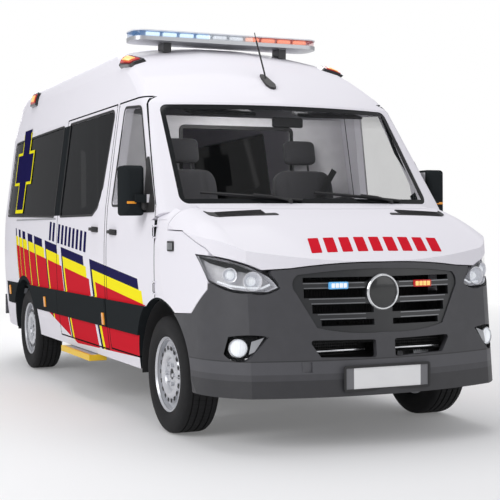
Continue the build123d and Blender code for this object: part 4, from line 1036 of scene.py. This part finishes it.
class AMBULANCE_OT_wheel_trim(bpy.types.Operator):
    """Rim beads, valves, painted shade over the disc openings, and splash guards"""

    bl_idname = "ambulance.wheel_trim"
    bl_label = "Wheel trim"

    def execute(self, context):
        bead = ((-0.010, 0.214), (-0.002, 0.219), (0.003, 0.2235), (0.001, 0.2275), (-0.006, 0.2270))
        for wheel, (x, side) in WHEELS.items():
            work = bmesh.new()
            add_lathe(work, bead, (x, side * (WHEEL_Y + 0.098), AXLE_Z), (0, side, 0), 72, closed=True)
            start = Vector((x + 0.188, side * (WHEEL_Y + 0.070), AXLE_Z))
            add_tube(work, [start, start + Vector((-0.012, side * 0.034, 0))], 0.0045)
            finished("rim_bead_" + wheel, work, "wheel_silver", "wheel_" + wheel)
            self.openings(wheel, x, side)
            self.splash_guard(wheel, x, side)
        return {"FINISHED"}

    def splash_guard(self, wheel, wheel_x, side):
        """Black sheet down the back of the wheel housing."""
        spots = []
        for step in range(16):
            turn = radians(80 + 7 * step)
            inward = Vector((-cos(turn), 0, -sin(turn)))
            place = Vector((wheel_x, side * GUARD_Y, AXLE_Z)) - inward * GUARD_RADIUS
            spots.append((place, inward))
        band_piece("splash_guard_" + wheel, spots, GUARD_WIDTH, 0.003, "black_moulding")

    def openings(self, wheel, wheel_x, side):
        """Black patches over the ring of openings round the wheel's disc: painted shade where the openings
        look dark.
        """
        look = Skin("rim_" + wheel).side(side)
        between = pi / OPENINGS
        depth = look(wheel_x + 0.150 * cos(between), AXLE_Z + 0.150 * sin(between))[0].y

        def level(x, z):
            return Vector((x, depth, z)), Vector((0, side, 0))

        work = bmesh.new()
        for index in range(OPENINGS):
            turn = 2 * pi * index / OPENINGS
            corners = []
            for out, along in OPENING:
                x = wheel_x + out * cos(turn) - along * sin(turn)
                corners.append((x, AXLE_Z + out * sin(turn) + along * cos(turn)))
            add_patch(work, rounded(corners, 0.007, 3), level, 0.0008, 0.0012, 0.02)
        # Each opening is covered by a flat black patch: painted shade.
        finished("rim_openings_" + wheel, work, "seam_rubber", "wheel_" + wheel)


class AMBULANCE_OT_light_bar(bpy.types.Operator):
    """Lamp modules behind the light bar's lens"""

    bl_idname = "ambulance.light_bar"
    bl_label = "Light bar lamps"

    def execute(self, context):
        low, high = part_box("lightbar_lens")
        count = context.scene.ambulance_sizes.modules
        end = 0.08
        pitch = (high.y - low.y - 2 * end) / count
        middle_z = (low.z + high.z) / 2
        dome = ((0.0, 0.0055), (0.003, 0.0045), (0.0045, 0.0))
        colours = {"blue_light": [], "white_light": [], "red_light": []}
        for index in range(count):
            name = "blue_light" if index < 4 else "white_light" if index < 6 else "red_light"
            colours[name].append(low.y + end + pitch * (index + 0.5))
        for name, places in colours.items():
            work = bmesh.new()
            for y in places:
                for x, outward in ((high.x - 0.026, 1), (low.x + 0.026, -1)):
                    add_box(work, (x, y, middle_z), (0.030, pitch * 0.78, 0.026), 0.004)
                    for lamp in range(6):
                        spot = y + (lamp - 2.5) * pitch * 0.12
                        add_lathe(work, dome, (x + outward * 0.015, spot, middle_z), (outward, 0, 0), 10)
            finished("bar_" + name, work, name)
        return {"FINISHED"}


class AMBULANCE_OT_nose_lamps(bpy.types.Operator):
    """Headlamp insides, fog lamps and grille flashers"""

    bl_idname = "ambulance.nose_lamps"
    bl_label = "Nose lamps"

    def execute(self, context):
        lens = Skin("lamp_lenses")
        grille = Skin("grille", "front_bumper")
        for make, skin in ((self.headlamp, lens), (self.fog_lamp, lens), (self.flasher, grille)):
            for side, word in SIDES:
                make(skin, side, word)
        return {"FINISHED"}

    def headlamp(self, lens, side, word):
        """Deep housing with a main reflector, a second bowl, a light line and a dark upper shield."""
        outline = on_side(side, HEADLAMP)
        floor = sunk(lens, LAMP_DEEP)
        edge = sunk(lens, 0.012)
        work = bmesh.new()
        add_patch(work, outline, floor, 0.0, 0.004, 0.04)
        wall = dense(outline, 0.03)
        for here, there in zip(wall, wall[1:] + wall[:1]):
            spots = [floor(*here)[0], floor(*there)[0], edge(*there)[0], edge(*here)[0]]
            work.faces.new([work.verts.new(spot) for spot in spots])
        back = finished("headlamp_back_" + word, work, "lamp_chrome")
        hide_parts("headlamps")
        bowls = bmesh.new()
        lit = bmesh.new()
        bulb = ((0.0, 0.026), (0.020, 0.025), (0.034, 0.016), (0.039, 0.0))
        for y, z, radius, depth in LAMP_BOWLS:
            point, normal = lens.front(side * y, z)
            axis = (normal + AHEAD).normalized()
            centre = point - axis * (0.020 + depth)
            bowl = [(0.004, 0.012), (0.010, 0.6 * radius), (0.024, 0.85 * radius), (depth, radius)]
            bowl += [(depth + 0.002, radius + 0.004), (depth - 0.004, radius + 0.005)]
            bowl += [(0.0, 0.7 * radius), (0.0, 0.012)]
            add_lathe(bowls, bowl, centre, axis, 36, closed=True)
            add_lathe(lit, bulb, centre + axis * 0.010, axis, 24)
        low = sunk(lens, 0.040)
        add_tube(lit, [low(y, z)[0] for y, z in on_side(side, LIGHT_LINE)], 0.006)
        finished("headlamp_bowls_" + word, bowls, "lamp_chrome")
        finished("headlamp_lights_" + word, lit, "white_light")
        shield = (on_side(side, LAMP_SHIELD), sunk(lens, 0.060), 0.0, 0.006, 0.04)
        patch_piece("headlamp_shield_" + word, shield, "gloss_black")

    def fog_lamp(self, lens, side, word):
        """Round lamp in the recess with a pointed bezel inward of it."""
        point, normal = lens.front(side * 0.815, 0.578)
        axis = (normal + AHEAD).normalized()
        point = point - axis * 0.006
        rim = ((0.0, 0.052), (0.006, 0.054), (0.010, 0.050), (0.006, 0.046), (0.0, 0.046))
        lathe_piece("fog_rim_" + word, (rim, point, axis, 36), "bright_metal", closed=True)
        dome = ((0.0, 0.046), (0.006, 0.040), (0.009, 0.022), (0.010, 0.0))
        lathe_piece("fog_light_" + word, (dome, point, axis, 30), "white_light")
        bezel = (on_side(side, FOG_BEZEL), lens.front, 0.0005, 0.004, 0.03)
        patch_piece("fog_bezel_" + word, bezel, "satin_metal")

    def flasher(self, grille, side, word):
        """Small flashing lamp on the upper slats."""
        spots = [grille.front(side * y, 0.916)[0] for y in (0.27, 0.31, 0.34)]
        point = max(spots, key=lambda place: place.x)
        case, light = ("blue_lens", "white_light") if side < 0 else ("red_lens", "amber_light")
        boxes = [(point + AHEAD * 0.004, (0.024, 0.118, 0.040), 0.006)]
        box_piece("flasher_case_" + word, boxes, case)
        places = [point.y + (index - 1.5) * 0.025 for index in range(4)]
        boxes = [((point.x + 0.015, y, point.z), (0.008, 0.021, 0.026), 0.003) for y in places]
        box_piece("flasher_light_" + word, boxes, light)


class AMBULANCE_OT_grille_trim(bpy.types.Operator):
    """Slat edges, disc rim, radiator core, intake mesh, plate holder and tow cover"""

    bl_idname = "ambulance.grille_trim"
    bl_label = "Grille trim"

    def execute(self, context):
        self.slats_and_disc()
        self.radiator()
        for side, word in SIDES:
            self.intake(side, word)
        self.plate_holder()
        self.tow_cover()
        return {"FINISHED"}

    def slats_and_disc(self):
        grille = Skin("grille")
        work = bmesh.new()
        for z, half in SLATS:
            for side, _ in SIDES:
                places = [side * (SLAT_IN + (half - SLAT_IN) * k / 12) for k in range(13)]
                add_band(work, [grille.front(y, z) for y in places], 0.0055, 0.003)
        finished("slat_edges", work, "slat_metal")
        rim = [(-0.006, 0.101), (0.004, 0.103), (0.010, 0.098)]
        rim += [(0.010, 0.091), (0.004, 0.088), (-0.004, 0.088)]
        ring = (rim, DISC_PLACE, AHEAD, 64)
        lathe_piece("grille_ring", ring, "bright_metal", closed=True)
        face = ((0.0005, 0.088), (0.002, 0.072), (0.004, 0.040), (0.0045, 0.0))
        lathe_piece("grille_disc_face", (face, DISC_PLACE, AHEAD, 64), "gloss_black")

    def radiator(self):
        core = [((2.605, 0, 0.755), (0.030, 0.96, 0.50), 0.006)]
        box_piece("radiator_core", core, "black_moulding")
        baffles = [((2.690, side * 0.548, 0.800), (0.150, 0.012, 0.360), 0.004) for side, _ in SIDES]
        box_piece("radiator_baffles", baffles, "black_moulding")
        first, spacing, size = (2.624, -0.47, 0.755), (0, 0.010, 0), (0.010, 0.003, 0.48)
        row_piece("radiator_fins", first, 95, spacing, size, "seam_rubber")

    def intake(self, side, word):
        """Mesh of upright bars and level rails behind one bright bar."""
        rows = (
            ("intake_bars_", (2.800, side * 0.075, 0.566), 27, (0, side * 0.014, 0), (0.006, 0.0025, 0.092)),
            ("intake_rails_", (2.803, side * 0.255, 0.526), 6, (0, 0, 0.016), (0.006, 0.36, 0.003)),
        )
        for name, first, count, spacing, size in rows:
            row_piece(name + word, first, count, spacing, size, "black_moulding")
        bar = [((2.835, side * 0.245, 0.548), (0.012, 0.33, 0.012), 0.003)]
        box_piece("intake_bright_" + word, bar, "bright_metal")

    def plate_holder(self):
        low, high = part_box("number_plate")
        margin = 0.008
        ring = rectangle((low.y - margin, low.z - margin), (high.y + margin, high.z + margin), 0.010)
        face = upright(high.x, 1)
        spots = [face(y, z) for y, z in dense(ring, 0.05)]
        band_piece("plate_holder", spots, 0.014, 0.004, "black_moulding", closed=True)

    def tow_cover(self):
        """Square cover level with the bumper round it."""
        bumper = Skin("front_bumper")
        square = rectangle((-0.500, 0.440), (-0.440, 0.500), 0.006)
        around = [bumper.front(y + (0.036 if y > -0.47 else -0.036), z)[0].x for y, z in square]
        face = upright(sum(around) / len(around) - 0.004, 1)
        patch_piece("tow_cover", (square, face, -0.004, 0.006, 0.03), "grey_moulding")


class AMBULANCE_OT_bonnet_trim(bpy.types.Operator):
    """Vents and the row of red dashes on the bonnet"""

    bl_idname = "ambulance.bonnet_trim"
    bl_label = "Bonnet trim"

    def execute(self, context):
        bonnet = Skin("bonnet")
        vents = bmesh.new()
        run = [0.76 - 0.30 * k / 6 for k in range(7)]
        for side, _ in SIDES:
            outline = rounded([(x, side * y) for x, y in VENT], 0.012, 3)
            add_patch(vents, outline, bonnet.top, 0.0006, 0.004, 0.04)
            for k in range(5):
                spots = [bonnet.top(2.262 + 0.017 * k, side * y) for y in run]
                add_band(vents, spots, 0.004, 0.0085)
        finished("bonnet_vents", vents, "black_moulding", "bonnet")
        dashes = bmesh.new()
        for index in range(9):
            y = -0.350 + 0.098 * index
            corners = [(2.668, y - 0.004), (2.668, y + 0.062), (2.806, y + 0.022), (2.806, y - 0.044)]
            add_patch(dashes, rounded(corners, 0.006, 2), bonnet.top, 0.0004, 0.0008, 0.03)
        finished("bonnet_dashes", dashes, "decal_red", "bonnet")
        return {"FINISHED"}


class AMBULANCE_OT_wipers(bpy.types.Operator):
    """Two wipers at rest along the windscreen's foot"""

    bl_idname = "ambulance.wipers"
    bl_label = "Wipers"

    def execute(self, context):
        screen = Skin("windscreen")
        work = bmesh.new()
        cap = ((0.0, 0.016), (0.014, 0.015), (0.020, 0.010), (0.021, 0.0))
        for pivot_y, tip_y in WIPERS:
            blade = []
            for k in range(17):
                t = k / 16
                z = WIPER_LOW_Z + (WIPER_HIGH_Z - WIPER_LOW_Z) * t
                point, normal = screen.front(pivot_y + (tip_y - pivot_y) * t, z)
                blade.append((point + normal * 0.008, normal))
            add_band(work, blade, 0.010, 0.010)
            add_band(work, [(point - normal * 0.006, normal) for point, normal in blade], 0.003, 0.010)
            middle, normal = blade[8]
            foot, foot_normal = screen.front(pivot_y - 0.08, 1.396)
            elbow = foot.lerp(middle, 0.5) + normal * 0.030
            add_tube(work, [foot + foot_normal * 0.014, elbow, middle + normal * 0.020], 0.006)
            add_lathe(work, cap, foot, foot_normal, 20)
        finished("wipers", work, "black_moulding")
        return {"FINISHED"}


class AMBULANCE_OT_mirrors(bpy.types.Operator):
    """Mirror glass, sail panels and turn lamps on the cab doors"""

    bl_idname = "ambulance.mirrors"
    bl_label = "Mirrors"

    def execute(self, context):
        for side, word in SIDES:
            self.mirror(side, word)
        return {"FINISHED"}

    def mirror(self, side, word):
        body = "cab_door_" + word
        work = bmesh.new()
        for low_z, high_z in ((1.440, 1.600), (1.345, 1.425)):
            outline = rectangle((side * 1.040, low_z), (side * 1.138, high_z), 0.014, 3)
            add_patch(work, outline, upright(1.6349, -1), 0.0, 0.003, 0.05)
        finished("mirror_glass_" + word, work, "bright_metal", body)
        sail = bmesh.new()
        level = self.level(Skin(body, reach=MIRROR_IN).side(side))
        add_patch(sail, rounded(SAIL, 0.010, 3), level, 0.002, 0.010, 0.04)
        add_box(sail, (1.742, side * 1.012, 1.395), (0.070, 0.070, 0.085), 0.022, segments=4)
        finished("mirror_sail_" + word, sail, "black_moulding", body)
        lamp = [((1.7635, side * 1.108, 1.400), (0.010, 0.060, 0.016), 0.004)]
        box_piece("mirror_turn_lamp_" + word, lamp, "amber_lens", body)

    def level(self, look):
        """Flat face through three places on the door's frame."""
        places = ((1.880, 1.345), (1.700, 1.340), (1.672, 1.655))
        first, second, third = (look(x, z)[0] for x, z in places)
        normal = (second - first).cross(third - first).normalized()
        normal = normal if normal.y * first.y > 0 else -normal

        def project(x, z):
            y = first.y - (normal.x * (x - first.x) + normal.z * (z - first.z)) / normal.y
            return Vector((x, y, z)), normal

        return project


class AMBULANCE_OT_side_trim(bpy.types.Operator):
    """Handles, markers, window rubbers, sliding rail and fuel flap"""

    bl_idname = "ambulance.side_trim"
    bl_label = "Side trim"

    def execute(self, context):
        for make in (self.cab_door, self.fixed_side):
            for side, word in SIDES:
                make(side, word)
        self.sliding_door()
        return {"FINISHED"}

    def handle(self, name, look, x, z, body):
        """Pull handle over a dished cup."""
        work = bmesh.new()
        cup = ((-0.085, -0.018), (0.085, -0.024), (0.085, 0.014), (-0.085, 0.020))
        outline = rounded([(x + dx, z + dz) for dx, dz in cup], 0.014)
        add_patch(work, outline, look, 0.0005, 0.003, 0.05)
        normal = look(x, z)[1]
        places = ((-0.080, 0.006), (-0.055, 0.022), (0.0, 0.027), (0.055, 0.022), (0.080, 0.006))
        spots = [(look(x + dx, z)[0] + normal * out, normal) for dx, out in places]
        add_band(work, spots, 0.022, 0.009)
        add_lathe(work, ((0.0, 0.012), (0.006, 0.011), (0.007, 0.0)), look(x - 0.105, z)[0], normal, 18)
        finished(name, work, "black_moulding", body)

    def seal(self, name, corners, radius, look, body="body"):
        """Rubber round a window."""
        width = bpy.context.scene.ambulance_sizes.seal
        spots = [look(x, z) for x, z in dense(rounded(corners, radius))]
        band_piece(name, spots, width, 0.003, "seam_rubber", body, closed=True)

    def markers(self, name, look, places):
        """Amber marker lamps lying on the panels."""
        work = bmesh.new()
        for x, z in places:
            point, normal = look(x, z)
            turn = normal.to_track_quat("Z", "Y").to_matrix().to_4x4()
            add_box(work, point + normal * 0.004, (0.050, 0.085, 0.010), 0.004, turn)
        finished(name, work, "amber_lens")

    def cab_door(self, side, word):
        body = "cab_door_" + word
        look = Skin(body, reach=MIRROR_IN).side(side)
        self.handle("cab_handle_" + word, look, 1.034, 1.218, body)
        self.seal("cab_window_seal_" + word, CAB_WINDOW, 0.045, look, body)

    def fixed_side(self, side, word):
        look = Skin("body_side_" + word, "front_wings").side(side)
        self.seal("side_window_seal_" + word, SIDE_WINDOW, 0.045, look)
        self.markers("side_markers_" + word, look, ((-0.893, 0.640), (-2.233, 0.680)))
        case = (rectangle((2.128, 1.105), (2.205, 1.165), 0.010), look, 0.0005, 0.008, 0.03)
        patch_piece("repeater_case_" + word, case, "black_moulding")
        ribs_work = bmesh.new()
        for k in range(4):
            x = 2.143 + 0.016 * k
            add_band(ribs_work, [look(x, 1.115), look(x, 1.155)], 0.009, 0.011)
        finished("repeater_ribs_" + word, ribs_work, "satin_metal")
        if side > 0:
            outline = dense(rectangle((-0.60, 0.95), (-0.40, 1.13), 0.03), 0.05)
            spots = [look(x, z) for x, z in outline]
            band_piece("fuel_flap_seam", spots, 0.005, 0.0012, "seam_rubber", closed=True)

    def sliding_door(self):
        look = Skin("sliding_door").side(-1)
        self.handle("slide_handle", look, 0.583, 1.237, "body")
        self.seal("slide_window_seal", SLIDE_WINDOW, 0.020, look)
        self.markers("slide_marker", look, ((0.800, 0.615),))
        wall = Skin("body_side_right").side(-1)
        spots = [wall(-0.56 - 0.11 * k, 1.322) for k in range(14)]
        band_piece("slide_rail", spots, 0.012, 0.004, "satin_metal")


class AMBULANCE_OT_roof_trim(bpy.types.Operator):
    """Roof marker lamps and aerial"""

    bl_idname = "ambulance.roof_trim"
    bl_label = "Roof trim"

    def execute(self, context):
        roof = Skin("roof_panel", "cab_frame")
        for place, centre, normal in ROOF_LAMPS:
            for side, word in SIDES:
                look = self.facing(roof, centre, normal, side)
                for name, finish, slot, long, tall, lift, thick in ROOF_LAMP_LAYERS:
                    low, high = 0.3 * tall + long, 0.3 * tall - long
                    shape = [(high, -tall), (low, -tall), (-high, tall), (-low, tall)]
                    sheet = (rounded(shape, 0.2 * tall, 3), look, lift, thick, 0.05)
                    patch_piece(f"roof_lamp_{name}_{place}_{word}", sheet, finish)
        work = bmesh.new()
        add_patch(work, AERIAL, roof.top, 0.0, 0.016, 0.03)
        foot = roof.top(1.330, 0.0)[0]
        bend = foot + Vector((-0.16, 0, 0.30))
        add_tube(work, [foot, foot + Vector((-0.02, 0, 0.05)), bend], 0.006)
        add_tube(work, [bend, foot + Vector((-0.19, 0, 0.36))], 0.0035)
        finished("aerial", work, "black_moulding")
        return {"FINISHED"}

    def facing(self, roof, centre, normal, side):
        """Projection onto the roof along a slanted direction, on either side."""
        middle = Vector((centre[0], side * centre[1], centre[2]))
        out = Vector((normal[0], side * normal[1], normal[2])).normalized()
        ahead = (AHEAD - out * out.x).normalized()
        above = out.cross(ahead)
        above = above if above.z > 0 else -above

        def project(u, v):
            point, _ = roof.hit(middle + ahead * u + above * v + out * 0.6, -out)
            return point, out

        return project


class AMBULANCE_OT_decals(bpy.types.Operator):
    """Plus signs on the rear quarters and the row of navy dashes on the side"""

    bl_idname = "ambulance.decals"
    bl_label = "Decals"

    def execute(self, context):
        for side, word in SIDES:
            self.plus(side, word)
        for side, word in SIDES:
            look = Skin(*DASH_PANELS[word]).side(side)
            work = bmesh.new()
            for x in DASH_PLACES:
                z = 1.150 - 0.0746 * (x + 0.76)
                corners = [(x, z), (x + 0.062, z - 0.004), (x + 0.084, z + 0.146), (x + 0.022, z + 0.150)]
                add_patch(work, rounded(corners, 0.006, 2), look, 0.0004, 0.0008, 0.06)
            finished("side_dashes_" + word, work, "decal_navy")
        return {"FINISHED"}

    def plus(self, side, word):
        """Navy plus with a yellow edge over the glass and the panel."""
        smooth = self.smooth(Skin("body_side_" + word, "side_glass").side(side))
        for name, finish, arm, half, lift in PLUS_LAYERS:
            tall = arm * 1.25
            shape = [(-half, -tall), (half, -tall), (half, -half), (arm, -half), (arm, half), (half, half)]
            shape += [(-dx, -dz) for dx, dz in shape]
            outline = [(PLUS_X + dx, PLUS_Z + dz) for dx, dz in shape]
            patch_piece(name + word, (outline, smooth, lift, 0.001, 0.06), finish)

    def smooth(self, look):
        """Surface that stays level over the window's gaps."""
        near = [(du, dv) for du in (-0.03, 0, 0.03) for dv in (-0.03, 0, 0.03)]

        def project(u, v):
            outward = 1 if look(u, v)[1].y > 0 else -1
            samples = [look(u + du, v + dv)[0].y * outward for du, dv in near]
            return Vector((u, outward * max(samples), v)), Vector((0, outward, 0))

        return project


class AMBULANCE_OT_seats(bpy.types.Operator):
    """Padded seats with headrests and belts"""

    bl_idname = "ambulance.seats"
    bl_label = "Seats"

    def execute(self, context):
        puff = context.scene.ambulance_sizes.puff
        for side, word in SIDES:
            y = side * 0.46
            lean = Matrix.Translation((1.05, y, 1.055)) @ Matrix.Rotation(radians(-12), 4, "Y")
            pads = (
                ("cushion_", Matrix.Translation((1.28, y, 1.010)), (0.253, 0.248, 0.060), 2, (0.12,)),
                ("backrest_", lean @ Matrix.Translation((0, 0, 0.312)), (0.070, 0.243, 0.306), 0, (0.13,)),
                ("headrest_", lean @ Matrix.Translation((0, 0, 0.746)), (0.046, 0.130, 0.094), 0, ()),
            )
            for name, place, half, face_axis, channels in pads:
                piece = self.pad(name + word, place, half, face_axis, channels, puff)
                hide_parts("seats")
            work = bmesh.new()
            add_box(work, (1.26, y, 0.822), (0.41, 0.40, 0.244), 0.020)
            for dy in (-0.06, 0.06):
                add_tube(work, [lean @ Vector((0, dy, 0.600)), lean @ Vector((0, dy, 0.672))], 0.008)
            finished("seat_base_" + word, work, "dash_grain")
            self.belt("belt_" + word, lean, side)
        return {"FINISHED"}

    def belt(self, name, lean, side):
        """Belt from the outer shoulder to the inner hip."""
        spots = []
        for t in (0, 0.25, 0.5, 0.75, 1):
            place = Vector((0.078, side * 0.235 - side * 0.40 * t, 0.60 - 0.55 * t))
            spots.append((lean @ place, Vector((0.97, 0, 0.2))))
        band_piece(name, spots, 0.046, 0.0015, "seam_rubber")

    def pad(self, name, place, half, face_axis, channels, puff):
        """Crowned cushion: a rounded block whose sides pull in and whose face is sewn in channels."""
        work = bmesh.new()
        cube = bmesh.ops.create_cube(work, size=2.0)["verts"]
        bmesh.ops.subdivide_edges(work, edges=edges_of(cube), cuts=22, use_grid_fill=True)
        inner = [size - (puff if axis == face_axis else 0.004) for axis, size in enumerate(half)]
        others = [axis for axis in range(3) if axis != face_axis]
        power = 5.0
        for vert in work.verts:
            share = list(vert.co)
            reach = sum(abs(value) ** power for value in share) ** (1 / power)
            spot = [value / reach for value in share]
            crown = (1 - spot[others[0]] ** 2) * (1 - spot[others[1]] ** 2)
            moved = [spot[axis] * inner[axis] for axis in range(3)]
            facing = max(0.0, spot[face_axis])
            moved[face_axis] += puff * crown * spot[face_axis]
            for seam in channels:
                near = (abs(moved[1]) - seam) / 0.010
                moved[face_axis] -= 0.010 * facing * (2.718 ** (-near * near))
            for axis, other in (others, others[::-1]):
                moved[axis] *= 1 - 0.025 * (1 - spot[other] ** 2)
            vert.co = place @ Vector(moved)
        piece = finished(name, work, "seat_cloth", smooth_deg=60.0)
        return piece


class AMBULANCE_OT_cab_trim(bpy.types.Operator):
    """Instrument hood, vents, screen, sun visors, inner mirror and partition rail"""

    bl_idname = "ambulance.cab_trim"
    bl_label = "Cab trim"

    def execute(self, context):
        work = bmesh.new()
        add_box(work, (1.770, 0.43, 1.330), (0.22, 0.36, 0.062), 0.024)
        add_box(work, (1.700, 0.0, 1.318), (0.10, 0.30, 0.070), 0.014)
        vent = ((0.0, 0.048), (0.014, 0.046), (0.016, 0.036), (0.006, 0.034), (0.006, 0.0))
        for y in (-0.68, -0.16, 0.16, 0.68):
            add_lathe(work, vent, (1.668, y, 1.245), (-0.85, 0, 0.5), 28)
        finished("dash_hood_and_vents", work, "dash_grain")
        screen = [((1.645, 0.0, 1.320), (0.012, 0.25, 0.056), 0.004)]
        box_piece("dash_screen", screen, "gloss_black")
        glass = Skin("windscreen")
        tilt = Matrix.Rotation(radians(14), 4, "Y")
        boxes = []
        for y in (-0.40, 0.40):
            edge = glass.front(1.65 * y, 1.985)[0].x
            boxes.append(((edge - 0.125, y, 2.010), (0.15, 0.48, 0.022), 0.010, tilt))
        mirror_x = glass.front(0, 1.93)[0].x - 0.060
        boxes.append(((mirror_x, 0.0, 1.930), (0.03, 0.22, 0.065), 0.012))
        box_piece("visors_and_mirror", boxes, "dash_grain")
        face = upright(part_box("partition")[1].x, 1)
        outline = dense(rectangle((-0.435, 1.385), (0.435, 1.965), 0.03), 0.08)
        spots = [face(y, z) for y, z in outline]
        band_piece("partition_window_rim", spots, 0.026, 0.006, "black_moulding", closed=True)
        return {"FINISHED"}


class AMBULANCE_OT_rear_trim(bpy.types.Operator):
    """Rear door handles, window rubbers and bumper tread"""

    bl_idname = "ambulance.rear_trim"
    bl_label = "Rear trim"

    def execute(self, context):
        for side, word in SIDES:
            self.door(side, word)
        low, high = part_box("rear_bumper")
        first, spacing, size = (low.x + 0.040, -0.680, high.z - 0.038), (0, 0.020, 0), (0.030, 0.008, 0.004)
        row_piece("bumper_tread", first, 69, spacing, size, "black_moulding")
        return {"FINISHED"}

    def door(self, side, word):
        body = "rear_door_" + word
        skin = Skin(body)
        spots = [skin.back(y, z) for y, z in dense(rounded(on_side(side, REAR_WINDOW), 0.045))]
        seal = "rear_window_seal_" + word
        band_piece(seal, spots, 0.016, 0.003, "seam_rubber", body, closed=True)
        work = bmesh.new()
        point = skin.back(side * 0.09, 1.12)[0]
        add_box(work, point + Vector((-0.006, side * 0.02, 0)), (0.012, 0.11, 0.15), 0.005)
        places = ((-0.010, -0.06), (-0.034, -0.045), (-0.034, 0.045), (-0.010, 0.06))
        add_tube(work, [point + Vector((dx, side * 0.02, dz)) for dx, dz in places], 0.010)
        finished("rear_handle_" + word, work, "black_moulding", body)


class AMBULANCE_OT_stage(bpy.types.Operator):
    """Pale floor, soft light and the camera"""

    bl_idname = "ambulance.stage"
    bl_label = "Stage"

    def execute(self, context):
        self.floor()
        self.world(context.scene)
        self.lights()
        self.camera(context.scene)
        return {"FINISHED"}

    def floor(self):
        """Floor that fades to white away from the van."""
        work = bmesh.new()
        bmesh.ops.create_grid(work, x_segments=1, y_segments=1, size=60.0)
        mesh = bpy.data.meshes.new("floor")
        work.to_mesh(mesh)
        work.free()
        floor = bpy.data.objects.new("floor", mesh)
        bpy.context.scene.collection.objects.link(floor)
        finish = Finish("studio_floor", (0.86, 0.86, 0.87), 0.7)
        place = finish.node("ShaderNodeTexCoord", output="Object")
        length = finish.node("ShaderNodeVectorMath", {"operation": "LENGTH"}, {0: place}, "Value")
        fade = ((length - 4.0) * 0.16 | 0.0) & 1.0
        glow = finish.node("ShaderNodeEmission", {}, {"Color": (1, 1, 1, 1), "Strength": 1.0})
        rays = finish.tree.nodes.new("ShaderNodeLightPath")
        kinds = ("Is Camera Ray", "Is Glossy Ray", "Is Transmission Ray")
        seen = any_of([Value(finish, rays.outputs[kind]) for kind in kinds])
        mixed = finish.node("ShaderNodeMixShader", {}, {0: (0.14 + 0.86 * fade) * seen, 2: glow})
        finish.tree.links.new(finish.shader.outputs[0], mixed.socket.node.inputs[1])
        finish.tree.links.new(mixed.socket, finish.tree.nodes["Material Output"].inputs["Surface"])
        mesh.materials.append(finish.material)

    def world(self, scene):
        """Soft light all round, seen as plain white."""
        world = bpy.data.worlds.new("studio")
        scene.world = world
        world.use_nodes = True
        tree = world.node_tree
        back = tree.nodes["Background"]
        back.inputs["Color"].default_value = (0.97, 0.97, 1.0, 1)
        back.inputs["Strength"].default_value = 0.50
        white = tree.nodes.new("ShaderNodeBackground")
        white.inputs["Strength"].default_value = 1.0
        white.inputs["Color"].default_value = (1, 1, 1, 1)
        rays = tree.nodes.new("ShaderNodeLightPath")
        mix = tree.nodes.new("ShaderNodeMixShader")
        tree.links.new(rays.outputs["Is Camera Ray"], mix.inputs[0])
        tree.links.new(back.outputs[0], mix.inputs[1])
        tree.links.new(white.outputs[0], mix.inputs[2])
        tree.links.new(mix.outputs[0], tree.nodes["World Output"].inputs["Surface"])

    def lights(self):
        for name, place, target, size, power in LIGHTS:
            data = bpy.data.lights.new(name, "AREA")
            data.size = size
            data.energy = power
            lamp = bpy.data.objects.new(name, data)
            lamp.location = place
            lamp.rotation_mode = "QUATERNION"
            lamp.rotation_quaternion = (Vector(target) - Vector(place)).to_track_quat("-Z", "Y")
            bpy.context.scene.collection.objects.link(lamp)

    def camera(self, scene):
        """Camera where the photo was taken from."""
        data = bpy.data.cameras.new("photo_view")
        data.sensor_width = 36.0
        data.lens = 83.95
        camera = bpy.data.objects.new("photo_view", data)
        scene.collection.objects.link(camera)
        yaw, pitch, roll = radians(156.5), radians(-1.11), radians(-0.39)
        ahead = Vector((cos(pitch) * cos(yaw), cos(pitch) * sin(yaw), sin(pitch)))
        level = ahead.cross(Vector((0, 0, 1))).normalized()
        up = level.cross(ahead)
        right = cos(roll) * level + sin(roll) * up
        tall = -sin(roll) * level + cos(roll) * up
        turn = Matrix((right, tall, -ahead)).transposed().to_4x4()
        camera.matrix_world = Matrix.Translation(CAMERA_PLACE) @ turn
        data.clip_end = 200.0
        scene.camera = camera
        scene.view_settings.view_transform = "Standard"


STEPS = (
    AMBULANCE_OT_finishes,
    AMBULANCE_OT_tyres,
    AMBULANCE_OT_wheel_trim,
    AMBULANCE_OT_light_bar,
    AMBULANCE_OT_nose_lamps,
    AMBULANCE_OT_grille_trim,
    AMBULANCE_OT_bonnet_trim,
    AMBULANCE_OT_wipers,
    AMBULANCE_OT_mirrors,
    AMBULANCE_OT_side_trim,
    AMBULANCE_OT_roof_trim,
    AMBULANCE_OT_decals,
    AMBULANCE_OT_seats,
    AMBULANCE_OT_cab_trim,
    AMBULANCE_OT_rear_trim,
    AMBULANCE_OT_stage,
)


class AMBULANCE_PT_panel(bpy.types.Panel):
    """Lists the ambulance's steps and values"""

    bl_idname = "AMBULANCE_PT_panel"
    bl_label = "Ambulance"
    bl_space_type = "VIEW_3D"
    bl_region_type = "UI"
    bl_category = "Ambulance"

    def draw(self, context):
        for group in (context.scene.ambulance_paint, context.scene.ambulance_sizes):
            for name in group.__annotations__:
                self.layout.prop(group, name)
        for step in STEPS:
            self.layout.operator(step.bl_idname)


CLASSES = (AmbulancePaint, AmbulanceSizes, *STEPS, AMBULANCE_PT_panel)


def register():
    for made in CLASSES:
        bpy.utils.register_class(made)
    bpy.types.Scene.ambulance_paint = bpy.props.PointerProperty(type=AmbulancePaint)
    bpy.types.Scene.ambulance_sizes = bpy.props.PointerProperty(type=AmbulanceSizes)


def unregister():
    del bpy.types.Scene.ambulance_paint
    del bpy.types.Scene.ambulance_sizes
    for made in reversed(CLASSES):
        bpy.utils.unregister_class(made)


def main():
    register()
    for step in STEPS:
        group, name = step.bl_idname.split(".")
        getattr(getattr(bpy.ops, group), name)()


if __name__ == "__main__":
    main()
